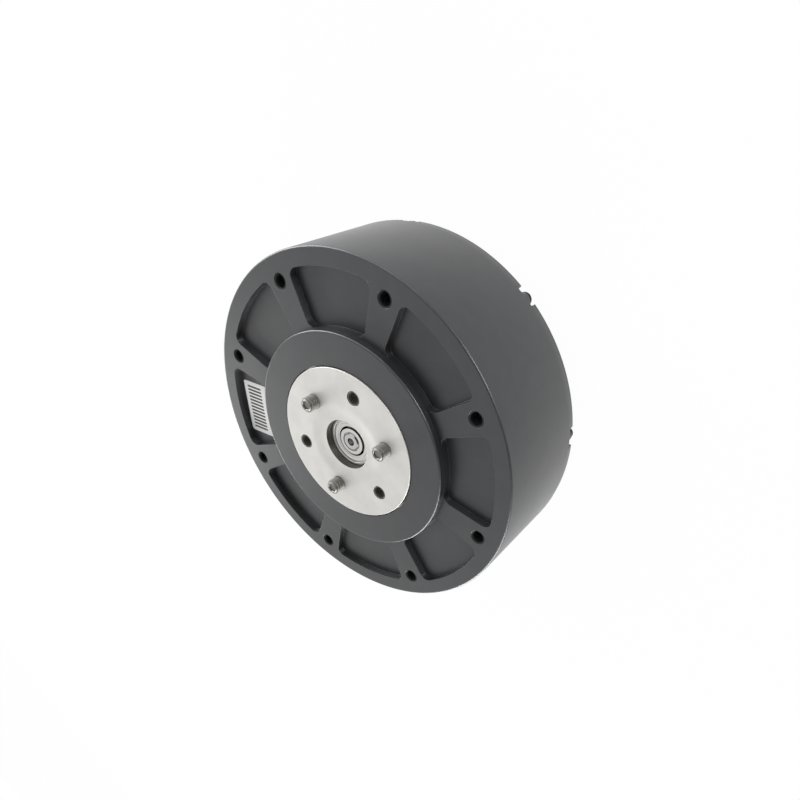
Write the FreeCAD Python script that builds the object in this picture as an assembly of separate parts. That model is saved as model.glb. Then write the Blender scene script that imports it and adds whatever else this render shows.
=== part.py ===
"""Robot joint actuator: a flat brushless motor, a planetary gearbox and a driver board in one housing.

The actuator stands on its rear cover. The origin is the centre of that rear face, and +Z is the output axis.
Angles are counted from +X. Lengths are in millimetres.
"""
import FreeCAD, Part
import math
import os

V = FreeCAD.Vector
Z_AXIS = V(0, 0, 1)
X_AXIS = V(1, 0, 0)
ORIGIN = V(0, 0, 0)

# ---------------------------------------------------------------- clearances
FIT = 0.05               # sliding fit between pieces that come apart
RUN = 0.25               # radial gap between a turning piece and a fixed one
END_PLAY = 0.4           # axial gap beside a turning piece
ROLL = 0.03              # running gap round a ball or a pin
TIP_GAP = 0.2            # left below a screw's tip
EASY = 0.1               # round a screw or board that drops into place

# ---------------------------------------------------------------- outside
BODY_R = 49.0            # outer radius of the housing
REAR_EDGE_Z = 4.0        # rear edge of the housing
FRONT_Z = 36.15          # front ring face of the housing
BOSS_WIDTH = 9.05        # the raised boss, from the output disc outwards
BOSS_HEIGHT = 2.1
BOSS_ROUND = 0.95
FRONT_ROUND = 1.1        # rounded front corner of the housing
REAR_STEP = 0.3          # the rear band is turned down by this much
REAR_BAND = 1.6

# front pockets and ribs
SPOKE_COUNT = 8
POCKET_RIM = 4.4         # front ring left outside the pockets
POCKET_DEPTH = 2.0
RIB_HALF_ANGLE = 5.6
POCKET_ROUND_OUTER = 2.2
POCKET_ROUND_INNER = 2.4
FRONT_WALL = 1.95        # wall left under the pockets

# tapped mounting holes in the front ring, one on each rib
MOUNT_INSET = 6.25       # from the outer face to the hole circle
MOUNT_TAP_R = 1.65       # M4 core hole
MOUNT_DEPTH = 3.4
TAP_CHAMFER = 0.3

# notches in the rear edge, each with a lug of the rear cover in it
NOTCH_WIDTH = 5.4
NOTCH_DEPTH = 2.2
LUG_R = 2.0
LUG_INSET = 2.4
COVER_SCREW_R = 1.0      # M2
COVER_SCREW_DEPTH = 5.0
COVER_HEAD_R = 1.75
COVER_HEAD_HEIGHT = 1.2
COVER_SOCKET_FLATS = 1.5
COVER_SOCKET_DEPTH = 0.7

# ---------------------------------------------------------------- inside of the housing
HOUSING_WALL = 4.5       # round the stator
LEDGE_WIDTH = 0.5        # ledge that the bearing plate sits on
LEDGE_Z = 9.2
SLEEVE_WALL = 1.6        # sleeve that carries the ring gear inside the rotor
SLEEVE_END_Z = 18.2

# ---------------------------------------------------------------- output
OUTPUT_FACE_Z = 38.5
OUTPUT_SHOULDER = 1.25   # the disc overhangs the bearing's bore
OUTPUT_EDGE = 0.3        # chamfer of the output disc
DISH_R = 10.0            # shallow dish in the middle of the output face
DISH_DEPTH = 0.35
TAP_CIRCLE_SHARE = 0.72  # three tapped holes, M4: their circle, as a share of the disc
TAP_R = 1.65
TAP_DEPTH = 7.0
TAP_ANGLE = -41.8        # first tapped hole at rest
STUD_INSET = 1.4         # three studs, M4, halfway between the tapped holes and a little further in
STUD_R = 2.0
STUD_PROUD = 3.2
STUD_DEPTH = 6.0
STUD_SOCKET_FLATS = 2.0
STUD_SOCKET_DEPTH = 1.4
STUD_CHAMFER = 0.35
OUTPUT_COUNT = 3

# main bearing, 40 x 52 x 7
MAIN_SECTION = 6.0
MAIN_SHOULDER = 1.8
MAIN_WIDTH = 7.0
MAIN_BALL_COUNT = 16
MAIN_BALL_R = 1.75
LIP = 1.35               # lip of the boss in front of the bearing
LIP_RELIEF = 0.25        # keeps the lip off the bearing's inner ring
RING_THICK = 1.0         # snap ring behind the bearing
RING_BITE = 1.1          # depth of the snap ring groove
RING_STAND = 1.4         # how far the snap ring stands out of it
RING_OPENING = 6.0
GEAR_STEP = 1.0          # the ring gear's seat is this much wider than the bearing's
STOP_GAP = 0.3           # between the snap ring's groove and the ring gear
HUB_STEP = 0.9           # the output flange ends this far below the snap ring
BEARING_EDGE = 0.3       # chamfer of every bearing ring
BEARING_LAND = 0.42      # half the gap between two rings, as a share of the ball's radius

# ball cages, as shares of the ball's radius
CAGE_WALL = 0.25
CAGE_REACH = 1.3

# shaft bearing in the output flange, 5 x 14 x 5
SHAFT_R = 2.5
SHAFT_BEARING_R = 7.0
SHAFT_BEARING_WIDTH = 5.0
SHAFT_BEARING_DOWN = 2.3  # from the output face to the bearing
SHAFT_BALL_COUNT = 7
SHAFT_BALL_R = 1.2
SHIELD_THICK = 0.3       # pressed shield on the bearing's open side
SHIELD_DOWN = 0.2
CENTRE_DRILL_R = 1.1
CENTRE_DRILL_DEPTH = 2.0
HUB_HOLE_R = 5.7

# rear bearing in the bearing plate, 8 x 16 x 5
REAR_JOURNAL_R = 4.0
REAR_BEARING_R = 8.0
REAR_BEARING_WIDTH = 5.0
REAR_BALL_COUNT = 8
REAR_BALL_R = 1.2
REAR_LIP = 0.4           # of the bearing plate, under the bearing
REAR_LIP_WIDTH = 2.8
REAR_SEAT_WALL = 2.2
REAR_SEAT_FOOT = 4.5

# ---------------------------------------------------------------- planetary gears
RING_WALL = 2.0          # ring gear, behind its teeth
PRESSURE_ANGLE = 25.0
SUN_TOOTH_COUNT = 12
PLANET_TOOTH_COUNT = 24
RING_TOOTH_COUNT = SUN_TOOTH_COUNT + 2 * PLANET_TOOTH_COUNT
PLANET_COUNT = 3
ADDENDUM = 1.0           # tooth above and below the pitch circle, in modules
DEDENDUM = 1.25
BACKLASH = 0.10          # taken off each tooth's thickness at the pitch circle
GEAR_WIDTH = 8.0
PIN_R = 2.5
PIN_SEAT = 4.0
BUSH_WALL = 1.0
SUN_COLLAR_R = 4.6
RING_GEAR_OVER = 0.3     # the ring gear is this much longer than the planets
CARRIER_PLATE_THICK = 2.0
CARRIER_BORE_R = 7.0
POST_R = 3.3
POST_OUTSET = 1.4        # carrier posts, from the circle of the planet pins outwards
POST_SCREW_R = 1.25
POST_SCREW_DEPTH = 6.0

# ---------------------------------------------------------------- motor
AIR_GAP = 0.45
SLOT_COUNT = 18
POLE_COUNT = 20
MAGNET_THICK = 2.3
MAGNET_FILL = 0.86
MAGNET_LENGTH = 12.0
BACK_IRON = 2.0
ROTOR_RUN = 0.45         # gap between the sleeve and the back iron
CORE_LENGTH = 11.0
YOKE = 2.8
TOOTH_WIDTH = 4.4
TOOTH_LENGTH = 7.9
SHOE = 0.8
SLOT_OPENING = 1.8
INSULATOR = 0.8
COIL_WALL = 2.2
COIL_OVERHANG = 2.7
CORE_Z = 16.5
HUB_PLATE_THICK = 2.0
HUB_FLANGE_R = 10.5
HUB_FLANGE_THICK = 1.8
HUB_SCREW_COUNT = 6
HUB_SCREW_CIRCLE_R = 7.8
HUB_SCREW_R = 1.0
HUB_SCREW_LENGTH = 3.5
HUB_BORE_R = 5.0
HUB_WINDOW_COUNT = 6
HUB_WINDOW_R = 4.6
HUB_RIM = 1.5            # locating rim under the back iron
SHAFT_STAND = 0.2        # the shaft stands out of its bearing by this much
SHAFT_CHAMFER = 0.3
BACK_IRON_OVER = 1.0
COIL_GAP = 0.3           # between a coil and its tooth
COIL_INSET = 0.5         # between a coil and the tooth's shoe
CAP_LAP = 1.6            # the insulating caps reach over the yoke

# ---------------------------------------------------------------- rear end
PLATE_THICK = 2.2
WEB_COUNT = 8
WEB_WIDTH = 2.4
GROOVE_DEPTH = 0.8
GROOVE_START = 6.0       # from the rear bearing outwards
GROOVE_END = 4.0         # from the phase leads inwards
COVER_WALL = 1.2
COVER_PAN_INSET = 9.0
COVER_ROUND = 0.8
BOARD_THICK = 1.6
BOARD_Z = 2.9
BOARD_GAP = 0.5          # between the board and the pan's wall
SPIGOT_WALL = 2.0
BAY_ANGLE = 90.0         # direction of the connector nose
BAY_INSET = 2.0          # the nose ends this far inside the housing's outline
POWER_WIDTH = 10.2
POWER_HEIGHT = 4.8
POWER_PIN_COUNT = 2
POWER_PIN_WIDTH = 1.6
SIGNAL_WIDTH = 6.6
SIGNAL_HEIGHT = 3.6
SIGNAL_PIN_COUNT = 4
SIGNAL_PIN_WIDTH = 0.45
SIGNAL_COUNT = 2
SOCKET_GAP = 1.0
SOCKET_LENGTH = 11.5
SOCKET_WALL = 0.8
CAVITY_DEPTH = 7.0       # of a socket's open end
CONTACT_SETBACK = 1.5
MAGNET_DISC_R = 3.0
MAGNET_DISC_THICK = 1.2
MAGNET_DISC_DROP = 1.0   # below the bearing plate
LUG_GAP = 0.1            # between a lug and the roof of its notch
MOSFET_COUNT = 6
MOSFET_INSET = 11.3      # from the board's edge
MOSFET_SIZE = (6.0, 5.0, 1.0)
MOSFET_SPREAD = 16.0     # degrees between neighbours
MOSFET_ANGLE = 270.0
PAD_OVERLAP = 9.0        # degrees of thermal pad beyond the outer transistors
ENCODER_SIZE = (4.0, 4.0, 0.8)
CONTROLLER_SIZE = (9.0, 9.0, 1.2)
CONTROLLER_ANGLE = 20.0
DRIVER_SIZE = (7.0, 7.0, 1.0)
CHIP_CIRCLE_R = 16.0
CAPACITOR_COUNT = 4
CAPACITOR_R = 2.4
CAPACITOR_HEIGHT = 1.9
CAPACITOR_INSET = 14.3
CAPACITOR_SPREAD = 14.0
CAPACITOR_ANGLE = 150.0
LEAD_COUNT = 3
LEAD_R = 0.9
LEAD_INSET = 1.5
LEAD_HOLE_GAP = 0.3
LEAD_ANGLE = 0.0
STANDOFF_COUNT = 4
STANDOFF_R = 2.4
STANDOFF_INSET = 4.8
STANDOFF_ANGLE = 45.0
BOARD_SCREW_R = 0.8
BOARD_HEAD_R = 1.6
BOARD_HEAD_HEIGHT = 1.1

# blank sticker in one pocket
LABEL_LENGTH = 16.4
LABEL_WIDTH = 9.2
LABEL_THICK = 0.12
LABEL_ANGLE = 67.9
LABEL_INSET = 10.6       # from the outer face of the housing to the label's middle
LABEL_TURN = -26.0

# ---------------------------------------------------------------- worked out from the sizes above
STEP = 360.0 / SPOKE_COUNT
NOTCH_PHASE = STEP / 2
MOUNT_CIRCLE_R = BODY_R - MOUNT_INSET
POCKET_OUTER_R = BODY_R - POCKET_RIM
LUG_CIRCLE_R = BODY_R - LUG_INSET
LABEL_R = BODY_R - LABEL_INSET
STATOR_BORE_R = BODY_R - HOUSING_WALL
PLATE_BORE_R = STATOR_BORE_R + LEDGE_WIDTH
YOKE_R = STATOR_BORE_R - YOKE
CORE_INNER_R = YOKE_R - TOOTH_LENGTH
MAGNET_R = CORE_INNER_R - AIR_GAP
ROTOR_RING_R = MAGNET_R - MAGNET_THICK
ROTOR_INNER_R = ROTOR_RING_R - BACK_IRON
SLEEVE_OUTER_R = ROTOR_INNER_R - ROTOR_RUN
GEAR_SEAT_R = SLEEVE_OUTER_R - SLEEVE_WALL
MAIN_OUTER_R = GEAR_SEAT_R - GEAR_STEP
MAIN_BORE_R = MAIN_OUTER_R - MAIN_SECTION
OUTPUT_R = MAIN_BORE_R + OUTPUT_SHOULDER
BOSS_R = OUTPUT_R + BOSS_WIDTH
POCKET_INNER_R = BOSS_R
CARRIER_PLATE_R = OUTPUT_R + RUN
TAP_CIRCLE_R = OUTPUT_R * TAP_CIRCLE_SHARE
STUD_CIRCLE_R = TAP_CIRCLE_R - STUD_INSET
BOSS_Z = FRONT_Z + BOSS_HEIGHT
POCKET_Z = FRONT_Z - POCKET_DEPTH
CEILING_Z = POCKET_Z - FRONT_WALL
MAIN_TOP_Z = BOSS_Z - LIP
MAIN_LOW_Z = MAIN_TOP_Z - MAIN_WIDTH
MAIN_SEAT_R = MAIN_OUTER_R - MAIN_SHOULDER
RING_GROOVE_Z = MAIN_LOW_Z - RING_THICK
GEAR_STOP_Z = RING_GROOVE_Z - STOP_GAP
SHAFT_BEARING_TOP_Z = OUTPUT_FACE_Z - SHAFT_BEARING_DOWN
SHAFT_BEARING_LOW_Z = SHAFT_BEARING_TOP_Z - SHAFT_BEARING_WIDTH
HUB_LOW_Z = RING_GROOVE_Z - HUB_STEP
PLANET_TOP_Z = HUB_LOW_Z - END_PLAY
PLANET_LOW_Z = PLANET_TOP_Z - GEAR_WIDTH
PLATE_TOP_Z = PLANET_LOW_Z - END_PLAY
PLATE_LOW_Z = PLATE_TOP_Z - CARRIER_PLATE_THICK
MODULE = (GEAR_SEAT_R - RING_WALL) / (RING_TOOTH_COUNT / 2 + DEDENDUM)
PIN_CIRCLE_R = MODULE * (SUN_TOOTH_COUNT + PLANET_TOOTH_COUNT) / 2
POST_CIRCLE_R = PIN_CIRCLE_R + POST_OUTSET
PIN_ANGLE = TAP_ANGLE - 90.0 / OUTPUT_COUNT
POST_ANGLE = PIN_ANGLE + 180.0 / PLANET_COUNT
STUD_ANGLE = TAP_ANGLE - 180.0 / OUTPUT_COUNT
CORE_TOP_Z = CORE_Z + CORE_LENGTH
COIL_LOW_Z = CORE_Z - INSULATOR - COIL_OVERHANG
BEARING_PLATE_Z = LEDGE_Z - PLATE_THICK
REAR_BEARING_LOW_Z = BEARING_PLATE_Z + REAR_LIP
REAR_BEARING_TOP_Z = REAR_BEARING_LOW_Z + REAR_BEARING_WIDTH
HUB_PLATE_Z = REAR_BEARING_TOP_Z + END_PLAY
HUB_PLATE_TOP_Z = HUB_PLATE_Z + HUB_PLATE_THICK
HUB_FLANGE_TOP_Z = HUB_PLATE_TOP_Z + HUB_FLANGE_THICK
RIM_PLATE_TOP_Z = REAR_EDGE_Z + NOTCH_DEPTH - LUG_GAP
COVER_PLATE_R = PLATE_BORE_R - FIT
BOARD_TOP_Z = BOARD_Z + BOARD_THICK
COVER_PAN_R = BODY_R - COVER_PAN_INSET
BOARD_R = COVER_PAN_R - COVER_WALL - BOARD_GAP
MOSFET_CIRCLE_R = BOARD_R - MOSFET_INSET
CAPACITOR_CIRCLE_R = BOARD_R - CAPACITOR_INSET
LEAD_CIRCLE_R = BOARD_R - LEAD_INSET
STANDOFF_CIRCLE_R = BOARD_R - STANDOFF_INSET
BAY_REACH = BODY_R - BAY_INSET
SOCKET_BACK_R = BAY_REACH - SOCKET_LENGTH
BAY_WIDTH = POWER_WIDTH + SIGNAL_COUNT * (SIGNAL_WIDTH + SOCKET_GAP)
MAGNET_DISC_Z = BEARING_PLATE_Z - MAGNET_DISC_DROP
SHAFT_END_Z = MAGNET_DISC_Z + MAGNET_DISC_THICK


# ---------------------------------------------------------------- helpers
def cylinder(radius, low, high, x=0.0, y=0.0):
    return Part.makeCylinder(radius, high - low, V(x, y, low))


def tube(inner, outer, low, high):
    return cylinder(outer, low, high).cut(cylinder(inner, low - 1, high + 1))


def block(x0, x1, y0, y1, z0, z1):
    return Part.makeBox(x1 - x0, y1 - y0, z1 - z0, V(x0, y0, z0))


def polar(radius, degrees):
    turn = math.radians(degrees)
    return radius * math.cos(turn), radius * math.sin(turn)


def turned(shape, degrees):
    copy = shape.copy()
    copy.rotate(ORIGIN, Z_AXIS, degrees)
    return copy


def around(shape, count, start=0.0):
    """Copies of a shape at even angles about the axis."""
    return [turned(shape, start + index * 360.0 / count) for index in range(count)]


def revolve(points):
    """A ring or disc from its half section, given as (radius, height) points."""
    wire = Part.makePolygon([V(radius, 0, height) for radius, height in points + points[:1]])
    return Part.Face(wire).revolve(ORIGIN, Z_AXIS, 360)


def rounded(shape, radius, picks):
    """Fillets the edges of a shape for which picks(edge) is true."""
    return shape.makeFillet(radius, [edge for edge in shape.Edges if picks(edge)])


def bevelled(shape, size, picks):
    return shape.makeChamfer(size, [edge for edge in shape.Edges if picks(edge)])


def circle_at(radius, height):
    """Picks the full circle edges of one radius and height about the axis."""
    def picks(edge):
        box = edge.BoundBox
        level = abs(box.ZMin - height) < 1e-4 and abs(box.ZMax - height) < 1e-4
        return level and abs(box.XMax - radius) < 1e-3 and abs(box.XMin + radius) < 1e-3
    return picks


def save(name, shape):
    shape.exportStep("parts/" + name + ".step")


def group(shapes):
    return Part.makeCompound(shapes)


# ---------------------------------------------------------------- housing
def pocket():
    """One front pocket: a ring sector between two ribs, with rounded corners."""
    side = STEP / 2 - RIB_HALF_ANGLE
    corners = []
    for radius, degrees in ((POCKET_OUTER_R, -side), (POCKET_OUTER_R, side),
                            (POCKET_INNER_R, side), (POCKET_INNER_R, -side)):
        corners.append(V(*polar(radius, degrees), POCKET_Z))
    outer = Part.Arc(corners[0], V(POCKET_OUTER_R, 0, POCKET_Z), corners[1]).toShape()
    inner = Part.Arc(corners[2], V(POCKET_INNER_R, 0, POCKET_Z), corners[3]).toShape()
    right = Part.makeLine(corners[1], corners[2])
    left = Part.makeLine(corners[3], corners[0])
    face = Part.Face(Part.Wire([outer, right, inner, left]))
    solid = face.extrude(V(0, 0, POCKET_DEPTH + BOSS_HEIGHT))

    def upright(edge, radius):
        box = edge.BoundBox
        middle = math.hypot(box.Center.x, box.Center.y)
        return box.ZLength > POCKET_DEPTH and abs(middle - radius) < 0.1

    solid = rounded(solid, POCKET_ROUND_OUTER, lambda edge: upright(edge, POCKET_OUTER_R))
    return rounded(solid, POCKET_ROUND_INNER, lambda edge: upright(edge, POCKET_INNER_R))


def tapped_hole(radius, circle, top, depth):
    hole = cylinder(radius, top - depth, top + 1, circle)
    wide = Part.makeCone(radius, radius + TAP_CHAMFER, TAP_CHAMFER, V(circle, 0, top - TAP_CHAMFER))
    return hole.fuse(wide)


def bay_cutter(low, high, reach, gap):
    half = BAY_WIDTH / 2 + gap
    return turned(block(SOCKET_BACK_R - SOCKET_GAP, reach, -half, half, low, high), BAY_ANGLE)


def housing():
    shell = revolve([
        (PLATE_BORE_R, REAR_EDGE_Z), (BODY_R - REAR_STEP, REAR_EDGE_Z),
        (BODY_R - REAR_STEP, REAR_EDGE_Z + REAR_BAND), (BODY_R, REAR_EDGE_Z + REAR_BAND),
        (BODY_R, FRONT_Z), (BOSS_R, FRONT_Z), (BOSS_R, BOSS_Z), (OUTPUT_R + RUN, BOSS_Z),
        (OUTPUT_R + RUN, MAIN_TOP_Z + LIP_RELIEF), (MAIN_SEAT_R, MAIN_TOP_Z + LIP_RELIEF),
        (MAIN_SEAT_R, MAIN_TOP_Z), (MAIN_OUTER_R, MAIN_TOP_Z), (MAIN_OUTER_R, MAIN_LOW_Z),
        (MAIN_OUTER_R + RING_BITE, MAIN_LOW_Z), (MAIN_OUTER_R + RING_BITE, RING_GROOVE_Z),
        (MAIN_OUTER_R, RING_GROOVE_Z), (MAIN_OUTER_R, GEAR_STOP_Z), (GEAR_SEAT_R, GEAR_STOP_Z),
        (GEAR_SEAT_R, SLEEVE_END_Z), (SLEEVE_OUTER_R, SLEEVE_END_Z), (SLEEVE_OUTER_R, CEILING_Z),
        (STATOR_BORE_R, CEILING_Z), (STATOR_BORE_R, LEDGE_Z), (PLATE_BORE_R, LEDGE_Z)])
    shell = rounded(shell, FRONT_ROUND, circle_at(BODY_R, FRONT_Z))
    shell = rounded(shell, BOSS_ROUND, circle_at(BOSS_R, BOSS_Z))
    cuts = around(pocket(), SPOKE_COUNT, STEP / 2)
    cuts += around(tapped_hole(MOUNT_TAP_R, MOUNT_CIRCLE_R, FRONT_Z, MOUNT_DEPTH), SPOKE_COUNT)
    notch = block(PLATE_BORE_R - 2, BODY_R + 1, -NOTCH_WIDTH / 2, NOTCH_WIDTH / 2,
                  REAR_EDGE_Z - 1, REAR_EDGE_Z + NOTCH_DEPTH)
    cuts += around(notch, SPOKE_COUNT, NOTCH_PHASE)
    screw = cylinder(COVER_SCREW_R, REAR_EDGE_Z, RIM_PLATE_TOP_Z + COVER_SCREW_DEPTH, LUG_CIRCLE_R)
    cuts += around(screw, SPOKE_COUNT, NOTCH_PHASE)
    cuts.append(bay_cutter(REAR_EDGE_Z - 1, REAR_EDGE_Z + NOTCH_DEPTH + FIT, BODY_R + 1, FIT + COVER_WALL))
    return shell.cut(group(cuts))


def label():
    """A blank sticker, stuck flat on the pocket floor."""
    x, y = polar(LABEL_R, LABEL_ANGLE)
    sheet = block(-LABEL_LENGTH / 2, LABEL_LENGTH / 2, -LABEL_WIDTH / 2, LABEL_WIDTH / 2, 0, LABEL_THICK)
    sheet.rotate(ORIGIN, Z_AXIS, LABEL_TURN)
    sheet.translate(V(x, y, POCKET_Z))
    return sheet


# ---------------------------------------------------------------- rear end
def rear_cover():
    """Shallow pan for the driver board, with a rim plate, eight lugs and a nose for the sockets."""
    def pan(radius, half, reach, low):
        nose = turned(block(0, reach, -half, half, low, REAR_EDGE_Z), BAY_ANGLE)
        return cylinder(radius, low, REAR_EDGE_Z).fuse(nose).removeSplitter()

    half = BAY_WIDTH / 2 + COVER_WALL
    outside = pan(COVER_PAN_R, half, BAY_REACH, 0)
    outside = rounded(outside, COVER_ROUND, lambda edge: edge.BoundBox.ZMax < 1e-4)
    body = outside.fuse(cylinder(COVER_PLATE_R, REAR_EDGE_Z, RIM_PLATE_TOP_Z))
    for lug in around(cylinder(LUG_R, REAR_EDGE_Z, RIM_PLATE_TOP_Z, LUG_CIRCLE_R), SPOKE_COUNT, NOTCH_PHASE):
        body = body.fuse(lug)
    body = body.fuse(cylinder(COVER_PLATE_R, RIM_PLATE_TOP_Z, BEARING_PLATE_Z))
    body = body.cut(pan(COVER_PAN_R - COVER_WALL, BAY_WIDTH / 2 + FIT, BAY_REACH + 1, COVER_WALL))
    body = body.cut(cylinder(COVER_PAN_R - COVER_WALL, COVER_WALL, RIM_PLATE_TOP_Z + 1))
    body = body.cut(cylinder(COVER_PLATE_R - SPIGOT_WALL, RIM_PLATE_TOP_Z, BEARING_PLATE_Z + 1))
    body = body.cut(bay_cutter(REAR_EDGE_Z - 1, BEARING_PLATE_Z + 1, BODY_R, FIT))
    hole = cylinder(COVER_SCREW_R + FIT, 0, RIM_PLATE_TOP_Z + 1, LUG_CIRCLE_R)
    body = body.cut(group(around(hole, SPOKE_COUNT, NOTCH_PHASE)))
    post = cylinder(STANDOFF_R, COVER_WALL, BOARD_Z, STANDOFF_CIRCLE_R)
    for standoff in around(post, STANDOFF_COUNT, STANDOFF_ANGLE):
        body = body.fuse(standoff)
    drill = cylinder(BOARD_SCREW_R, COVER_WALL, BOARD_Z + 1, STANDOFF_CIRCLE_R)
    return body.cut(group(around(drill, STANDOFF_COUNT, STANDOFF_ANGLE))).removeSplitter()


def cover_screws():
    low = REAR_EDGE_Z - COVER_HEAD_HEIGHT
    head = cylinder(COVER_HEAD_R, low, REAR_EDGE_Z, LUG_CIRCLE_R)
    top = RIM_PLATE_TOP_Z + COVER_SCREW_DEPTH
    shank = cylinder(COVER_SCREW_R, REAR_EDGE_Z, top - TIP_GAP, LUG_CIRCLE_R)
    socket = hexagon(COVER_SOCKET_FLATS, low - 1, low + COVER_SOCKET_DEPTH, LUG_CIRCLE_R)
    return group(around(head.fuse(shank).cut(socket), SPOKE_COUNT, NOTCH_PHASE))


def hexagon(flats, low, high, x=0.0, y=0.0):
    """A six-sided prism of the given width across flats."""
    corner = flats / math.sqrt(3)
    points = []
    for index in range(7):
        dx, dy = polar(corner, 60 * index)
        points.append(V(x + dx, y + dy, low))
    return Part.Face(Part.makePolygon(points)).extrude(V(0, 0, high - low))


def bearing_plate():
    """Plate behind the rotor with the rear bearing seat, webs and openings for the phase leads."""
    lip_r = REAR_BEARING_R - REAR_LIP_WIDTH
    plate = revolve([
        (lip_r, BEARING_PLATE_Z), (PLATE_BORE_R - FIT, BEARING_PLATE_Z),
        (PLATE_BORE_R - FIT, LEDGE_Z), (REAR_BEARING_R + REAR_SEAT_FOOT, LEDGE_Z),
        (REAR_BEARING_R + REAR_SEAT_WALL, REAR_BEARING_TOP_Z), (REAR_BEARING_R, REAR_BEARING_TOP_Z),
        (REAR_BEARING_R, REAR_BEARING_LOW_Z), (lip_r, REAR_BEARING_LOW_Z)])
    groove = tube(REAR_BEARING_R + GROOVE_START, LEAD_CIRCLE_R - GROOVE_END,
                  LEDGE_Z - GROOVE_DEPTH, LEDGE_Z + 1)
    web = block(0, BODY_R, -WEB_WIDTH / 2, WEB_WIDTH / 2, BEARING_PLATE_Z, LEDGE_Z + 1)
    for rib in around(web, WEB_COUNT):
        groove = groove.cut(rib)
    hole = cylinder(LEAD_R + LEAD_HOLE_GAP, BEARING_PLATE_Z - 1, LEDGE_Z + 1, LEAD_CIRCLE_R)
    return plate.cut(group([groove] + around(hole, LEAD_COUNT, LEAD_ANGLE)))


def driver_board():
    """Round circuit board with a notch for the sockets and holes for its screws."""
    board = cylinder(BOARD_R, BOARD_Z, BOARD_TOP_Z)
    hole = cylinder(BOARD_SCREW_R + EASY, 0, BOARD_TOP_Z + 1, STANDOFF_CIRCLE_R)
    holes = around(hole, STANDOFF_COUNT, STANDOFF_ANGLE)
    holes.append(bay_cutter(0, BOARD_TOP_Z + 1, BODY_R, EASY))
    return board.cut(group(holes))


def board_screws():
    head = cylinder(BOARD_HEAD_R, BOARD_TOP_Z, BOARD_TOP_Z + BOARD_HEAD_HEIGHT, STANDOFF_CIRCLE_R)
    shank = cylinder(BOARD_SCREW_R, COVER_WALL + TIP_GAP, BOARD_TOP_Z, STANDOFF_CIRCLE_R)
    return group(around(head.fuse(shank), STANDOFF_COUNT, STANDOFF_ANGLE))


def chip(width, depth, height, radius, degrees):
    x, y = polar(radius, degrees)
    body = block(-width / 2, width / 2, -depth / 2, depth / 2, 0, height)
    body.rotate(ORIGIN, Z_AXIS, degrees)
    body.translate(V(x, y, BOARD_TOP_Z))
    return body


def mosfets():
    width, depth, height = MOSFET_SIZE
    first = MOSFET_ANGLE - MOSFET_SPREAD * (MOSFET_COUNT - 1) / 2
    return group([chip(width, depth, height, MOSFET_CIRCLE_R, first + MOSFET_SPREAD * index)
                  for index in range(MOSFET_COUNT)])


def thermal_pad():
    """Soft pad between the power transistors and the bearing plate."""
    width, depth, height = MOSFET_SIZE
    low = BOARD_TOP_Z + height
    sweep = MOSFET_SPREAD * (MOSFET_COUNT - 1) + 2 * PAD_OVERLAP
    inner = MOSFET_CIRCLE_R - width / 2
    ring = Part.makeCylinder(inner + width, BEARING_PLATE_Z - low, V(0, 0, low), Z_AXIS, sweep)
    core = cylinder(inner, low - 1, BEARING_PLATE_Z + 1)
    return turned(ring.cut(core), MOSFET_ANGLE - sweep / 2)


def control_chips():
    """Encoder chip on the axis, motor controller and gate driver."""
    encoder = chip(*ENCODER_SIZE, 0, 0)
    controller = chip(*CONTROLLER_SIZE, CHIP_CIRCLE_R, CONTROLLER_ANGLE)
    gate_driver = chip(*DRIVER_SIZE, CHIP_CIRCLE_R, MOSFET_ANGLE)
    return group([encoder, controller, gate_driver])


def capacitors():
    can = cylinder(CAPACITOR_R, BOARD_TOP_Z, BOARD_TOP_Z + CAPACITOR_HEIGHT, CAPACITOR_CIRCLE_R)
    angles = [CAPACITOR_ANGLE + CAPACITOR_SPREAD * index for index in range(CAPACITOR_COUNT)]
    return group([turned(can, angle) for angle in angles])


def socket(width, height, offset, contacts, contact_width):
    """A board socket with one cavity at its outer end; returns the body and its contact pins."""
    front = BAY_REACH
    floor = front - CAVITY_DEPTH
    low = COVER_WALL
    body = block(SOCKET_BACK_R, front, offset, offset + width, low, low + height)
    body = body.cut(block(floor, front + 1, offset + SOCKET_WALL, offset + width - SOCKET_WALL,
                          low + SOCKET_WALL, low + height - SOCKET_WALL))
    pins = []
    pitch = (width - 2 * SOCKET_WALL) / contacts
    reach = contact_width / 2
    level = low + height / 2
    for index in range(contacts):
        middle = offset + SOCKET_WALL + pitch * (index + 0.5)
        pins.append(block(floor, front - CONTACT_SETBACK, middle - reach, middle + reach,
                          level - reach, level + reach))
    return turned(body, BAY_ANGLE), [turned(pin, BAY_ANGLE) for pin in pins]


def sockets():
    start = -BAY_WIDTH / 2
    power, power_pins = socket(POWER_WIDTH, POWER_HEIGHT, start, POWER_PIN_COUNT, POWER_PIN_WIDTH)
    bodies = []
    pins = []
    for index in range(SIGNAL_COUNT):
        offset = start + POWER_WIDTH + SOCKET_GAP + index * (SIGNAL_WIDTH + SOCKET_GAP)
        body, contacts = socket(SIGNAL_WIDTH, SIGNAL_HEIGHT, offset, SIGNAL_PIN_COUNT, SIGNAL_PIN_WIDTH)
        bodies.append(body)
        pins += contacts
    return power, group(power_pins), group(bodies), group(pins)


# ---------------------------------------------------------------- bearings
def race(points, circle, ball, height):
    """A bearing ring with its ball groove."""
    track = Part.makeTorus(circle, ball + ROLL, V(0, 0, height))
    return revolve(points).cut(track)


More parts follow.
